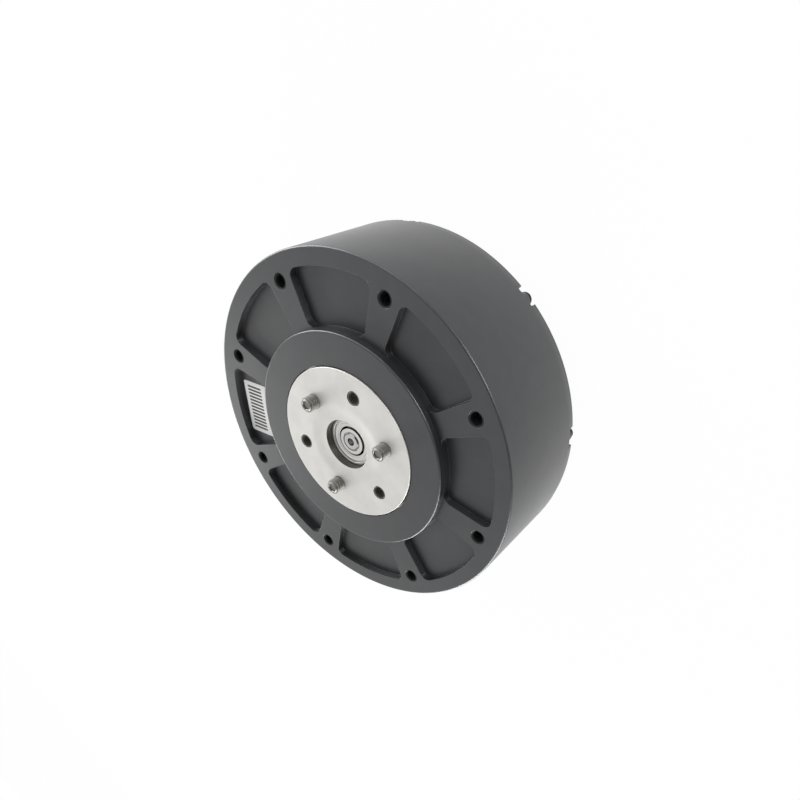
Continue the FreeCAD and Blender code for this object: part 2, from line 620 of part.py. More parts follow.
def bearing(bore, outer, low, width, ball, count):
    """Inner ring, outer ring, and balls with their cage."""
    high = low + width
    circle = (bore + outer) / 2
    middle = low + width / 2
    land = BEARING_LAND * ball
    edge = BEARING_EDGE
    inner = race([(bore, low + edge), (bore + edge, low), (circle - land, low), (circle - land, high),
                  (bore + edge, high), (bore, high - edge)], circle, ball, middle)
    outside = race([(outer - edge, low), (outer, low + edge), (outer, high - edge), (outer - edge, high),
                    (circle + land, high), (circle + land, low)], circle, ball, middle)
    balls = around(Part.makeSphere(ball, V(circle, 0, middle)), count)
    wall = CAGE_WALL * ball
    cage = tube(circle - wall, circle + wall, middle - CAGE_REACH * ball, middle + CAGE_REACH * ball)
    window = Part.makeCylinder(ball + ROLL, 2 * ball, V(circle - ball, 0, middle), X_AXIS)
    return inner, outside, group(balls), cage.cut(group(around(window, count)))


def shaft_bearing_shield():
    """Thin shield in the outer ring, clear of the inner ring."""
    circle = (SHAFT_R + SHAFT_BEARING_R) / 2
    land = BEARING_LAND * SHAFT_BALL_R
    high = SHAFT_BEARING_TOP_Z - SHIELD_DOWN
    return tube(circle - land + FIT, circle + land, high - SHIELD_THICK, high)


def snap_ring(inner, outer):
    """An open ring for the groove behind the main bearing, with the two ends apart."""
    half = RING_OPENING / 2
    ring = tube(inner, outer, RING_GROOVE_Z, MAIN_LOW_Z)
    return ring.cut(block(0, outer + 1, -half, half, RING_GROOVE_Z - 1, MAIN_LOW_Z + 1))


# ---------------------------------------------------------------- gears
def involute(base, radius):
    """Angle, in radians, that an involute has turned from its base circle out to a radius."""
    pull = math.acos(min(1.0, base / radius))
    return math.tan(pull) - pull


def gear_outline(teeth, inner_gear=False):
    """Outline of a gear about its own axis: arcs for flanks, tips and roots, one tooth centred on +X."""
    pitch = MODULE * teeth / 2
    base = pitch * math.cos(math.radians(PRESSURE_ANGLE))
    if inner_gear:
        tip = pitch + DEDENDUM * MODULE
        root = pitch - ADDENDUM * MODULE
    else:
        tip = pitch + ADDENDUM * MODULE
        root = pitch - DEDENDUM * MODULE
    thickness = math.pi * MODULE / 2 + (BACKLASH if inner_gear else -BACKLASH)
    at_pitch = thickness / 2 / pitch + involute(base, pitch)
    start = max(root, base)
    flank = [start, (start + tip) / 2, tip]

    def point(radius, turn):
        return V(radius * math.cos(turn), radius * math.sin(turn), 0)

    edges = []
    pitch_angle = 2 * math.pi / teeth
    for index in range(teeth):
        centre = index * pitch_angle
        half = [at_pitch - involute(base, radius) for radius in flank]
        rising = [point(radius, centre - turn) for radius, turn in zip(flank, half)]
        falling = [point(radius, centre + turn) for radius, turn in zip(flank, half)][::-1]
        foot = point(root, centre - half[0])
        if root < start - 1e-6:
            edges.append(Part.makeLine(foot, rising[0]))
        edges.append(Part.Arc(*rising).toShape())
        edges.append(Part.Arc(rising[2], point(tip, centre), falling[0]).toShape())
        edges.append(Part.Arc(*falling).toShape())
        leave = point(root, centre + half[0])
        if root < start - 1e-6:
            edges.append(Part.makeLine(falling[2], leave))
        following = point(root, centre + pitch_angle - half[0])
        edges.append(Part.Arc(leave, point(root, centre + pitch_angle / 2), following).toShape())
    return Part.Wire(edges)


def gear_blank(teeth, low, high, inner_gear=False):
    wire = gear_outline(teeth, inner_gear)
    wire.translate(V(0, 0, low))
    return Part.Face(wire).extrude(V(0, 0, high - low))


def ring_gear():
    high = GEAR_STOP_Z
    low = PLANET_LOW_Z - RING_GEAR_OVER
    spaces = gear_blank(RING_TOOTH_COUNT, low - 1, high + 1, inner_gear=True)
    return cylinder(GEAR_SEAT_R, low, high).cut(turned(spaces, PIN_ANGLE + 180.0 / RING_TOOTH_COUNT))


def sun_gear():
    gear = gear_blank(SUN_TOOTH_COUNT, PLANET_LOW_Z, PLANET_TOP_Z)
    gear = turned(gear, PIN_ANGLE)
    collar = cylinder(SUN_COLLAR_R, HUB_FLANGE_TOP_Z, PLANET_LOW_Z)
    return gear.fuse(collar).cut(cylinder(SHAFT_R, 0, OUTPUT_FACE_Z))


def planet_place(index):
    return PIN_ANGLE + index * 360.0 / PLANET_COUNT


def planet_gear(index):
    """A planet on its pin, turned to mesh with the sun, whose first tooth points at the first pin."""
    place = planet_place(index)
    sun_phase = (PIN_ANGLE - place) * SUN_TOOTH_COUNT / 360.0
    gear = gear_blank(PLANET_TOOTH_COUNT, PLANET_LOW_Z, PLANET_TOP_Z)
    gear = gear.cut(cylinder(PIN_R + BUSH_WALL, 0, OUTPUT_FACE_Z))
    gear = turned(gear, place + 180.0 + (0.5 - sun_phase) * 360.0 / PLANET_TOOTH_COUNT)
    gear.translate(V(*polar(PIN_CIRCLE_R, place), 0))
    return gear


def planet_bush(index):
    bush = tube(PIN_R + ROLL, PIN_R + BUSH_WALL, PLANET_LOW_Z, PLANET_TOP_Z)
    bush.translate(V(*polar(PIN_CIRCLE_R, planet_place(index)), 0))
    return bush


# ---------------------------------------------------------------- output
def output_flange():
    """Output disc, bearing seat and front half of the planet carrier in one piece."""
    dish_z = OUTPUT_FACE_Z - DISH_DEPTH
    flange = revolve([
        (HUB_HOLE_R, HUB_LOW_Z), (MAIN_BORE_R, HUB_LOW_Z), (MAIN_BORE_R, RING_GROOVE_Z),
        (MAIN_BORE_R - RING_BITE, RING_GROOVE_Z), (MAIN_BORE_R - RING_BITE, MAIN_LOW_Z),
        (MAIN_BORE_R, MAIN_LOW_Z), (MAIN_BORE_R, MAIN_TOP_Z), (OUTPUT_R, MAIN_TOP_Z),
        (OUTPUT_R, OUTPUT_FACE_Z - OUTPUT_EDGE), (OUTPUT_R - OUTPUT_EDGE, OUTPUT_FACE_Z),
        (DISH_R + 2 * DISH_DEPTH, OUTPUT_FACE_Z), (DISH_R, dish_z),
        (SHAFT_BEARING_R + TAP_CHAMFER, dish_z), (SHAFT_BEARING_R, dish_z - TAP_CHAMFER),
        (SHAFT_BEARING_R, SHAFT_BEARING_LOW_Z), (HUB_HOLE_R, SHAFT_BEARING_LOW_Z)])
    post = cylinder(POST_R, PLATE_TOP_Z, HUB_LOW_Z, POST_CIRCLE_R)
    for copy in around(post, PLANET_COUNT, POST_ANGLE):
        flange = flange.fuse(copy)
    cuts = around(tapped_hole(TAP_R, TAP_CIRCLE_R, OUTPUT_FACE_Z, TAP_DEPTH), OUTPUT_COUNT, TAP_ANGLE)
    cuts += around(tapped_hole(TAP_R, STUD_CIRCLE_R, OUTPUT_FACE_Z, STUD_DEPTH), OUTPUT_COUNT, STUD_ANGLE)
    pin = cylinder(PIN_R, HUB_LOW_Z - 1, HUB_LOW_Z + PIN_SEAT, PIN_CIRCLE_R)
    cuts += around(pin, PLANET_COUNT, PIN_ANGLE)
    screw = cylinder(POST_SCREW_R, PLATE_TOP_Z - 1, PLATE_TOP_Z + POST_SCREW_DEPTH, POST_CIRCLE_R)
    cuts += around(screw, PLANET_COUNT, POST_ANGLE)
    return flange.cut(group(cuts))


def output_studs():
    """Studs of full diameter above the disc; in the disc their threads are drawn at the core diameter."""
    top = OUTPUT_FACE_Z + STUD_PROUD
    stud = cylinder(STUD_R, OUTPUT_FACE_Z, top, STUD_CIRCLE_R)
    stud = bevelled(stud, STUD_CHAMFER, lambda edge: edge.BoundBox.ZMin > top - 1e-4)
    stud = stud.fuse(cylinder(TAP_R, OUTPUT_FACE_Z - STUD_DEPTH, OUTPUT_FACE_Z, STUD_CIRCLE_R))
    stud = stud.cut(hexagon(STUD_SOCKET_FLATS, top - STUD_SOCKET_DEPTH, top + 1, STUD_CIRCLE_R))
    return group(around(stud, OUTPUT_COUNT, STUD_ANGLE))


def planet_pins():
    pin = cylinder(PIN_R, PLATE_LOW_Z, HUB_LOW_Z + PIN_SEAT, PIN_CIRCLE_R)
    return group(around(pin, PLANET_COUNT, PIN_ANGLE))


def countersunk(radius, circle, seat, direction, length):
    """A countersunk screw whose head is flush at seat and whose shank runs in direction (+1 up, -1 down)."""
    head_depth = radius
    axis = V(0, 0, direction)
    head = Part.makeCone(2 * radius, radius, head_depth, V(circle, 0, seat), axis)
    shank = Part.makeCylinder(radius, length, V(circle, 0, seat), axis)
    return head.fuse(shank)


def carrier_plate():
    plate = tube(CARRIER_BORE_R, CARRIER_PLATE_R, PLATE_LOW_Z, PLATE_TOP_Z)
    cuts = around(cylinder(PIN_R, PLATE_LOW_Z - 1, PLATE_TOP_Z + 1, PIN_CIRCLE_R), PLANET_COUNT, PIN_ANGLE)
    cuts += around(countersunk(POST_SCREW_R, POST_CIRCLE_R, PLATE_LOW_Z, 1, 2 * CARRIER_PLATE_THICK),
                   PLANET_COUNT, POST_ANGLE)
    return plate.cut(group(cuts))


def carrier_screws():
    length = CARRIER_PLATE_THICK + POST_SCREW_DEPTH - TIP_GAP
    screw = countersunk(POST_SCREW_R, POST_CIRCLE_R, PLATE_LOW_Z, 1, length)
    return group(around(screw, PLANET_COUNT, POST_ANGLE))


# ---------------------------------------------------------------- rotor
def rotor_shaft():
    """Stepped shaft: magnet end, rear journal, flange for the rotor plate, and the long front journal."""
    top = SHAFT_BEARING_TOP_Z + SHAFT_STAND
    shaft = revolve([
        (0, SHAFT_END_Z), (REAR_JOURNAL_R, SHAFT_END_Z), (REAR_JOURNAL_R, REAR_BEARING_TOP_Z),
        (HUB_BORE_R, REAR_BEARING_TOP_Z), (HUB_BORE_R, HUB_PLATE_TOP_Z),
        (HUB_FLANGE_R, HUB_PLATE_TOP_Z), (HUB_FLANGE_R, HUB_FLANGE_TOP_Z), (SHAFT_R, HUB_FLANGE_TOP_Z),
        (SHAFT_R, top - SHAFT_CHAMFER), (SHAFT_R - SHAFT_CHAMFER, top), (CENTRE_DRILL_R, top),
        (CENTRE_DRILL_R, top - CENTRE_DRILL_DEPTH), (0, top - CENTRE_DRILL_DEPTH - CENTRE_DRILL_R)])
    screws = around(countersunk(HUB_SCREW_R, HUB_SCREW_CIRCLE_R, HUB_FLANGE_TOP_Z, -1, HUB_SCREW_LENGTH),
                    HUB_SCREW_COUNT)
    return shaft.cut(group(screws))


def rotor_hub():
    """Plate that carries the magnet ring on the shaft flange, with round windows and a locating rim."""
    plate = tube(HUB_BORE_R, ROTOR_RING_R, HUB_PLATE_Z, HUB_PLATE_TOP_Z)
    rim = tube(ROTOR_INNER_R - HUB_RIM, ROTOR_INNER_R, HUB_PLATE_TOP_Z, HUB_PLATE_TOP_Z + HUB_RIM)
    plate = plate.fuse(rim)
    middle = (HUB_FLANGE_R + ROTOR_INNER_R) / 2
    windows = around(cylinder(HUB_WINDOW_R, 0, CORE_Z, middle), HUB_WINDOW_COUNT)
    screws = around(countersunk(HUB_SCREW_R, HUB_SCREW_CIRCLE_R, HUB_FLANGE_TOP_Z, -1, HUB_SCREW_LENGTH),
                    HUB_SCREW_COUNT)
    return plate.cut(group(windows + screws))


def rotor_hub_screws():
    screw = countersunk(HUB_SCREW_R, HUB_SCREW_CIRCLE_R, HUB_FLANGE_TOP_Z, -1, HUB_SCREW_LENGTH)
    return group(around(screw, HUB_SCREW_COUNT))


def rotor_magnets():
    """Arc magnets on the outside of the back iron, poles alternating."""
    low = CORE_Z + (CORE_LENGTH - MAGNET_LENGTH) / 2
    sweep = 360.0 / POLE_COUNT * MAGNET_FILL
    sector = Part.makeCylinder(MAGNET_R, MAGNET_LENGTH, V(0, 0, low), Z_AXIS, sweep)
    magnet = sector.cut(cylinder(ROTOR_RING_R, low - 1, low + MAGNET_LENGTH + 1))
    return group(around(magnet, POLE_COUNT))


# ---------------------------------------------------------------- stator
def slot_face(inner, outer):
    """The space between two teeth with parallel sides, centred on +X, from one radius to another."""
    half_pitch = math.pi / SLOT_COUNT
    half_tooth = TOOTH_WIDTH / 2

    def corner(radius, side):
        along = math.sqrt(radius ** 2 - half_tooth ** 2)
        x = along * math.cos(half_pitch) + half_tooth * math.sin(half_pitch)
        y = along * math.sin(half_pitch) - half_tooth * math.cos(half_pitch)
        return V(x, side * y, 0)

    far = Part.Arc(corner(outer, -1), V(outer, 0, 0), corner(outer, 1)).toShape()
    near = Part.Arc(corner(inner, 1), V(inner, 0, 0), corner(inner, -1)).toShape()
    left = Part.makeLine(corner(outer, 1), corner(inner, 1))
    right = Part.makeLine(corner(inner, -1), corner(outer, -1))
    return Part.Face(Part.Wire([far, left, near, right]))


def slots(inner, outer, low, high):
    face = slot_face(inner, outer)
    face.translate(V(0, 0, low))
    return around(face.extrude(V(0, 0, high - low)), SLOT_COUNT, 180.0 / SLOT_COUNT)


def stator_core():
    core = tube(CORE_INNER_R, STATOR_BORE_R, CORE_Z, CORE_TOP_Z)
    cuts = slots(CORE_INNER_R + SHOE, YOKE_R, CORE_Z - 1, CORE_TOP_Z + 1)
    mouth = block(CORE_INNER_R - 1, CORE_INNER_R + 2 * SHOE, -SLOT_OPENING / 2, SLOT_OPENING / 2,
                  CORE_Z - 1, CORE_TOP_Z + 1)
    cuts += around(mouth, SLOT_COUNT, 180.0 / SLOT_COUNT)
    return core.cut(group(cuts))


def stator_insulators():
    """Moulded end caps on both faces of the core."""
    caps = []
    for low in (CORE_Z - INSULATOR, CORE_TOP_Z):
        cap = tube(CORE_INNER_R + SHOE, YOKE_R + CAP_LAP, low, low + INSULATOR)
        cut = slots(CORE_INNER_R, YOKE_R, low - 1, low + INSULATOR + 1)
        caps.append(cap.cut(group(cut)))
    return group(caps)


def stator_coils():
    near = CORE_INNER_R + SHOE + COIL_INSET
    far = YOKE_R - COIL_GAP
    hole = TOOTH_WIDTH / 2 + COIL_GAP
    edge = hole + COIL_WALL
    low = CORE_Z - INSULATOR
    high = CORE_TOP_Z + INSULATOR
    coil = block(near, far, -edge, edge, low - COIL_OVERHANG, high + COIL_OVERHANG)
    coil = rounded(coil, COIL_WALL, lambda line: line.BoundBox.XLength > 1)
    coil = coil.cut(block(near - 1, far + 1, -hole, hole, low, high))
    return group(around(coil, SLOT_COUNT))


def phase_leads():
    lead = cylinder(LEAD_R, BOARD_TOP_Z, COIL_LOW_Z, LEAD_CIRCLE_R)
    return group(around(lead, LEAD_COUNT, LEAD_ANGLE))


# ---------------------------------------------------------------- write every piece
def main():
    os.makedirs("parts", exist_ok=True)
    save("housing", housing())
    save("blank_label", label())
    save("rear_cover", rear_cover())
    save("rear_cover_screws", cover_screws())
    save("bearing_plate", bearing_plate())
    save("driver_board", driver_board())
    save("board_screws", board_screws())
    save("power_transistors", mosfets())
    save("thermal_pad", thermal_pad())
    save("control_chips", control_chips())
    save("capacitors", capacitors())
    power, power_pins, signal, signal_pins = sockets()
    save("power_socket", power)
    save("power_socket_pins", power_pins)
    save("signal_sockets", signal)
    save("signal_socket_pins", signal_pins)

    save("stator_core", stator_core())
    save("stator_insulators", stator_insulators())
    save("stator_coils", stator_coils())
    save("phase_leads", phase_leads())

    save("output_flange", output_flange())
    save("output_studs", output_studs())
    save("carrier_plate", carrier_plate())
    save("carrier_screws", carrier_screws())
    save("planet_pins", planet_pins())
    save("housing_snap_ring", snap_ring(MAIN_SEAT_R, MAIN_OUTER_R + RING_BITE - FIT))
    save("output_snap_ring", snap_ring(MAIN_BORE_R - RING_BITE + FIT, MAIN_BORE_R + RING_STAND))

    save("ring_gear", ring_gear())
    save("sun_gear", sun_gear())
    for index in range(PLANET_COUNT):
        save("planet_gear_%d" % (index + 1), planet_gear(index))
        save("planet_bush_%d" % (index + 1), planet_bush(index))

    bearings = (
        ("main_bearing", MAIN_BORE_R, MAIN_OUTER_R, MAIN_LOW_Z, MAIN_WIDTH, MAIN_BALL_R, MAIN_BALL_COUNT),
        ("shaft_bearing", SHAFT_R, SHAFT_BEARING_R, SHAFT_BEARING_LOW_Z, SHAFT_BEARING_WIDTH,
         SHAFT_BALL_R, SHAFT_BALL_COUNT),
        ("rear_bearing", REAR_JOURNAL_R, REAR_BEARING_R, REAR_BEARING_LOW_Z, REAR_BEARING_WIDTH,
         REAR_BALL_R, REAR_BALL_COUNT))
    for name, bore, outer, low, width, ball, count in bearings:
        inner, outside, balls, cage = bearing(bore, outer, low, width, ball, count)
        save(name + "_inner_ring", inner)
        save(name + "_outer_ring", outside)
        save(name + "_balls", balls)
        save(name + "_cage", cage)

    save("shaft_bearing_shield", shaft_bearing_shield())
    save("rotor_shaft", rotor_shaft())
    save("rotor_hub", rotor_hub())
    save("rotor_hub_screws", rotor_hub_screws())
    save("rotor_ring", tube(ROTOR_INNER_R, ROTOR_RING_R, HUB_PLATE_TOP_Z, CORE_TOP_Z + BACK_IRON_OVER))
    save("rotor_magnets", rotor_magnets())
    save("encoder_magnet", cylinder(MAGNET_DISC_R, MAGNET_DISC_Z, SHAFT_END_Z))


main()
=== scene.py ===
"""Robot joint actuator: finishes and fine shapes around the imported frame."""
import math

import bmesh
import bpy
from mathutils import Matrix, Vector


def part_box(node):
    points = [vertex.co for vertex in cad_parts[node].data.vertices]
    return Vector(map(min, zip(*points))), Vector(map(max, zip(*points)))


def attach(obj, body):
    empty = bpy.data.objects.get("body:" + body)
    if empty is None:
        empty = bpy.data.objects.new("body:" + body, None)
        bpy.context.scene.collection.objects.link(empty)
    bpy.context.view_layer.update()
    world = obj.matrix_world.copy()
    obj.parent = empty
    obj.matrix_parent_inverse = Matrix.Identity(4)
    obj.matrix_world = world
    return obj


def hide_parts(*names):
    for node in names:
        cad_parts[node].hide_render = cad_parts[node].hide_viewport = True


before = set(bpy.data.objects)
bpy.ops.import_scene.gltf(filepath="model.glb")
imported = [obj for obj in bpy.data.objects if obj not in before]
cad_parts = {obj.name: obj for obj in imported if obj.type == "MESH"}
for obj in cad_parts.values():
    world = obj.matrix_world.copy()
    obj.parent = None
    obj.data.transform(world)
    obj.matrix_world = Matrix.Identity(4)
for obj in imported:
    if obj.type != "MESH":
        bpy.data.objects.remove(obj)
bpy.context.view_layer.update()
MM = 0.001

# ---------------------------------------------------------------- sizes, in millimetres
def top_of(node):
    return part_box(node)[1][2] / MM


def low_of(node):
    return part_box(node)[0][2] / MM


# housing
BODY_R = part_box("housing")[1][0] / MM
REAR_EDGE = low_of("housing")
BOSS_TOP = top_of("housing")
BOSS_HEIGHT = 2.1
FRONT = BOSS_TOP - BOSS_HEIGHT
BOSS_R = 30.3
BOSS_ROUND = 0.5
FRONT_ROUND = 1.1
REAR_STEP = 0.3
REAR_BAND = 1.6

SPOKES = 8
STEP = 360 / SPOKES
POCKET_OUTER_R = 44.6
POCKET_INNER_R = BOSS_R + 0.05
POCKET_DEPTH = 2.0
RIB_HALF_ANGLE = 5.6
POCKET_ROUNDS = (2.2, 2.4)
FLOOR_ROUND = 0.06
EDGE_BREAK = 0.06        # broken edges left by deburring
TURNED_EDGE = 0.1        # edges inside the bores
TOOL_NOSE = 0.05         # round left in a turned corner
CEILING_ROUND = 0.5
SLEEVE_ROUND = 0.2

# tapped holes and their threads
MOUNT_CIRCLE_R = 42.75
M4_CORE_R = 1.65
M4_R = 2.0
M4_PITCH = 0.7
MOUNT_DEPTH = 3.4
THREAD_SEAT = 0.03
SLEEVE_GAP = 0.01        # between a thread's sleeve and its hole
THREAD_END = 0.1         # between a thread's end and its hole's floor
THREAD_CREASE = 25       # edges sharper than this many degrees stay sharp on a thread
MOUTH = 0.04             # broken edge of a tapped hole

# rear edge, and the cover's lugs, screws and connector nose
LUG_CIRCLE_R = 46.6
COVER_SCREW_R = 1.0
COVER_SCREW_DEPTH = 5.0
COVER_WALL = 1.2
NOSE_WIDTH = 25.4        # connector nose of the rear cover
NOSE_GAP = 0.1
BAY_LENGTH = 30          # cutter of the gap in the rear edge that the nose fills
NOTCH_WIDTH = 5.4
NOTCH_DEPTH = 2.2
NOTCH_CLEAR = 1.0        # a ring this far above the notches keeps the side's shading even

# bores, from the rear to the front
STATOR_BORE_R = 44.5
PLATE_BORE_R = 45.0
LEDGE = 9.2
SLEEVE_R = 28.6
CEILING = FRONT - 3.95
OUTPUT_R = 21.25
OUTPUT_GAP = 0.35
MAIN_OUTER_R = 26.0
MAIN_SHOULDER_R = 24.2
MAIN_TOP = top_of("main_bearing_outer_ring")
MAIN_LOW = low_of("main_bearing_outer_ring")
LIP_RELIEF = 0.25
RING_THICK = 1.0
RING_BITE = 1.1
GEAR_STOP = MAIN_LOW - RING_THICK - 0.3
GEAR_SEAT_R = 27.0
SLEEVE_END = 18.2

# output disc and its studs
OUTPUT_FACE = FRONT + 2.35
OUTPUT_EDGE = 0.15
DISH_R = 10.0
DISH_DEPTH = 0.35
DISH_SLOPE = 1.2         # the dish's slope reaches this far each way
DISH_ROUND = 9.0
RECESS_EDGE = 0.12
HUB_EDGE = 0.2
HUB_R = 20.0
HUB_LOW = 28.0
HUB_HOLE_R = 5.7
TAP_CIRCLE_R = 15.3
TAP_ANGLE = -41.8
TAP_DEPTH = 7.0
OUTPUTS = 3              # tapped holes, and as many studs between them
STUD_CIRCLE_R = 13.9
STUD_ANGLE = TAP_ANGLE - 180 / OUTPUTS
STUD_PROUD = top_of("output_studs") - OUTPUT_FACE
STUD_DEPTH = 6.0
STUD_END = 0.45
STUD_FLATS = 2.0
STUD_SOCKET = 1.4
STUD_TIP_BREAK = 0.22    # chamfer of the stud's tip
SOCKET_MOUTH = 0.3       # the socket opens by this much at the tip
SOCKET_DRILL = 0.5       # drill point under the socket

# shaft bearing
BEARING_R = 7.0
BEARING_TOP = top_of("shaft_bearing_outer_ring")
BEARING_LOW = low_of("shaft_bearing_outer_ring")
RING_LIP_R = 6.2
LIP_STEP = 0.35          # step of the outer ring that the shield snaps into
SHIELD_DOWN = 0.12       # from the ring's face to the shield's rim, its dish and its back
SHIELD_DISH = 0.3
SHIELD_BACK = 0.5
GROOVE_WIDTH = 0.28      # dark ring between the shaft and the bearing
GROOVE_DEPTH = 0.5
SHIELD_STEP_R = 5.4
SHIELD_R = 4.3
INNER_RING_R = 3.8
SHAFT_R = 2.5

# label, in the pocket at this angle
LABEL_LENGTH = 16.4
LABEL_WIDTH = 9.2
LABEL_ANGLE = 67.9
LABEL_R = 38.4
LABEL_TURN = -26.0
LABEL_CORNER = 0.7
LABEL_THICK = 0.1
BAR_COUNT = 13
BAR_PITCH = 1.1
BAR_SIZE = (0.55, 5.4)
BAR_SHIFT = 0.5
INK_THICK = 0.012        # thick enough to lie clear of the film

# posts that join the output to the carrier plate
POST_R = 3.3
POST_CIRCLE_R = 15.8
POST_ANGLE = TAP_ANGLE + 30
POST_LOW = top_of("carrier_plate")
POST_LAP = 1.0           # the posts run this far into the hub

FINE = 256               # steps of a large turned surface
MEDIUM = 96              # of the shaft bearing
SMALL = 48               # of a hole or a stud
COARSE = 32              # of what lies in the dark of a hole
ARC_STEPS = 24           # of the long sides of a pocket
CORNER_STEPS = 8         # of a pocket's corner
LEVEL = 0.9999           # a face whose normal reaches this height lies level


# ---------------------------------------------------------------- mesh helpers
def polar(radius, degrees):
    turn = math.radians(degrees)
    return radius * math.cos(turn), radius * math.sin(turn)


def rounded_profile(points, closed=True):
    """Points (radius, height, corner radius) of a half section, with each corner rounded by an arc."""
    out = []
    count = len(points)
    for index, (x, y, size) in enumerate(points):
        here = Vector((x, y))
        if not closed and index in (0, count - 1):
            out.append(here)
            continue
        before = Vector(points[index - 1][:2]) - here
        after = Vector(points[(index + 1) % count][:2]) - here
        if size <= 0:
            out.append(here)
            continue
        angle = before.angle(after)
        reach = min(size / math.tan(angle / 2), before.length / 2.01, after.length / 2.01)
        size = reach * math.tan(angle / 2)
        centre = here + (before.normalized() + after.normalized()).normalized() * size / math.sin(angle / 2)
        first = here + before.normalized() * reach - centre
        last = here + after.normalized() * reach - centre
        steps = max(2, int(math.degrees(math.pi - angle) / 15))
        sweep = first.angle_signed(last)
        for step in range(steps + 1):
            spoke = first.copy()
            spoke.rotate(Matrix.Rotation(-sweep * step / steps, 2))
            out.append(centre + spoke)
    return out


def lathe(bm, points, steps, closed=True):
    """Spins a half section once round Z; an open one returns the edges of its first and last rings."""
    verts = [bm.verts.new((p.x * MM, 0, p.y * MM)) for p in rounded_profile(points, closed)]
    edges = [bm.edges.new(pair) for pair in zip(verts, verts[1:])]
    if closed:
        edges.append(bm.edges.new((verts[-1], verts[0])))
    bmesh.ops.spin(bm, geom=verts + edges, cent=(0, 0, 0), axis=(0, 0, 1), dvec=(0, 0, 0),
                   angle=2 * math.pi, steps=steps, use_merge=True, use_duplicate=False)
    bmesh.ops.remove_doubles(bm, verts=bm.verts[:], dist=1e-7)
    return [edge for edge in bm.edges if edge.is_boundary]


def drum(bm, radius, low, high, x=0.0, y=0.0, steps=SMALL):
    """A closed cylinder."""
    place = Matrix.Translation((x * MM, y * MM, (low + high) / 2 * MM))
    bmesh.ops.create_cone(bm, cap_ends=True, segments=steps, radius1=radius * MM, radius2=radius * MM,
                          depth=(high - low) * MM, matrix=place)


def brick(bm, size, centre, turn=0.0):
    place = Matrix.Translation([c * MM for c in centre]) @ Matrix.Rotation(math.radians(turn), 4, "Z")
    place = place @ Matrix.Diagonal([s * MM for s in size] + [1])
    bmesh.ops.create_cube(bm, size=1, matrix=place)


def mesh_of(name, bm):
    """A new object of this mesh, with its faces pointing outwards."""
    bmesh.ops.recalc_face_normals(bm, faces=bm.faces[:])
    mesh = bpy.data.meshes.new(name)
    bm.to_mesh(mesh)
    bm.free()
    piece = bpy.data.objects.new(name, mesh)
    bpy.context.scene.collection.objects.link(piece)
    return piece


def carve(piece, cutters):
    """Cuts closed shapes out of a piece and keeps the result as its mesh."""
    for cutter in cutters:
        tool = piece.modifiers.new("cut", "BOOLEAN")
        tool.operation = "DIFFERENCE"
        tool.solver = "EXACT"
        tool.object = cutter
    bpy.context.view_layer.update()
    evaluated = piece.evaluated_get(bpy.context.evaluated_depsgraph_get())
    mesh = bpy.data.meshes.new_from_object(evaluated)
    piece.modifiers.clear()
    piece.data = mesh
    for cutter in cutters:
        bpy.data.objects.remove(cutter)


def smooth(piece, limit=35):
    piece.data.shade_smooth()
    piece.data.set_sharp_from_angle(angle=math.radians(limit))


def crisp_flats(piece):
    """Keeps level faces evenly shaded where a rounding runs into them."""
    bm = bmesh.new()
    bm.from_mesh(piece.data)
    for edge in bm.edges:
        level = [abs(face.normal.z) > LEVEL for face in edge.link_faces]
        if any(level) and not all(level):
            edge.smooth = False
    bm.to_mesh(piece.data)
    bm.free()


def finish_piece(piece, body, slot, material, *nodes):
    piece.data.materials.clear()
    piece.data.materials.append(material)
    for face in piece.data.polygons:
        face.material_index = 0
    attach(piece, body)
    if nodes:
        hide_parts(*nodes)
    return piece


# ---------------------------------------------------------------- materials
def linear(hex_code):
    """An sRGB hex colour as the linear values that the shaders take."""
    out = []
    for place in (0, 2, 4):
        value = int(hex_code[place:place + 2], 16) / 255
        out.append(value / 12.92 if value <= 0.04045 else ((value + 0.055) / 1.055) ** 2.4)
    return (*out, 1.0)


def add(material, kind, settings=None, links=()):
    """Adds a node; settings go to its sockets or properties, links are (output, input name)."""
    node = material.node_tree.nodes.new(kind)
    for key, value in (settings or {}).items():
        if isinstance(key, int) or key in node.inputs:
            node.inputs[key].default_value = value
        else:
            setattr(node, key, value)
    for source, target in links:
        material.node_tree.links.new(source, node.inputs[target])
    return node


def new_material(name, colour, metallic, roughness, **more):
    """A named material, its shader and the object's own coordinates in it."""
    material = bpy.data.materials.new(name)
    material.use_nodes = True
    shader = material.node_tree.nodes["Principled BSDF"]
    shader.inputs["Base Color"].default_value = linear(colour)
    shader.inputs["Metallic"].default_value = metallic
    shader.inputs["Roughness"].default_value = roughness
    for key, value in more.items():
        shader.inputs[key.replace("_", " ")].default_value = value
    return material, shader, add(material, "ShaderNodeTexCoord").outputs["Object"]


GRAIN_HEIGHT = 0.02      # of the fine grain, in millimetres
SHEEN_PATCH = 9.0        # size of the areas that differ a little in roughness
TINT_PATCH = 4.0         # size of the areas that differ a little in colour


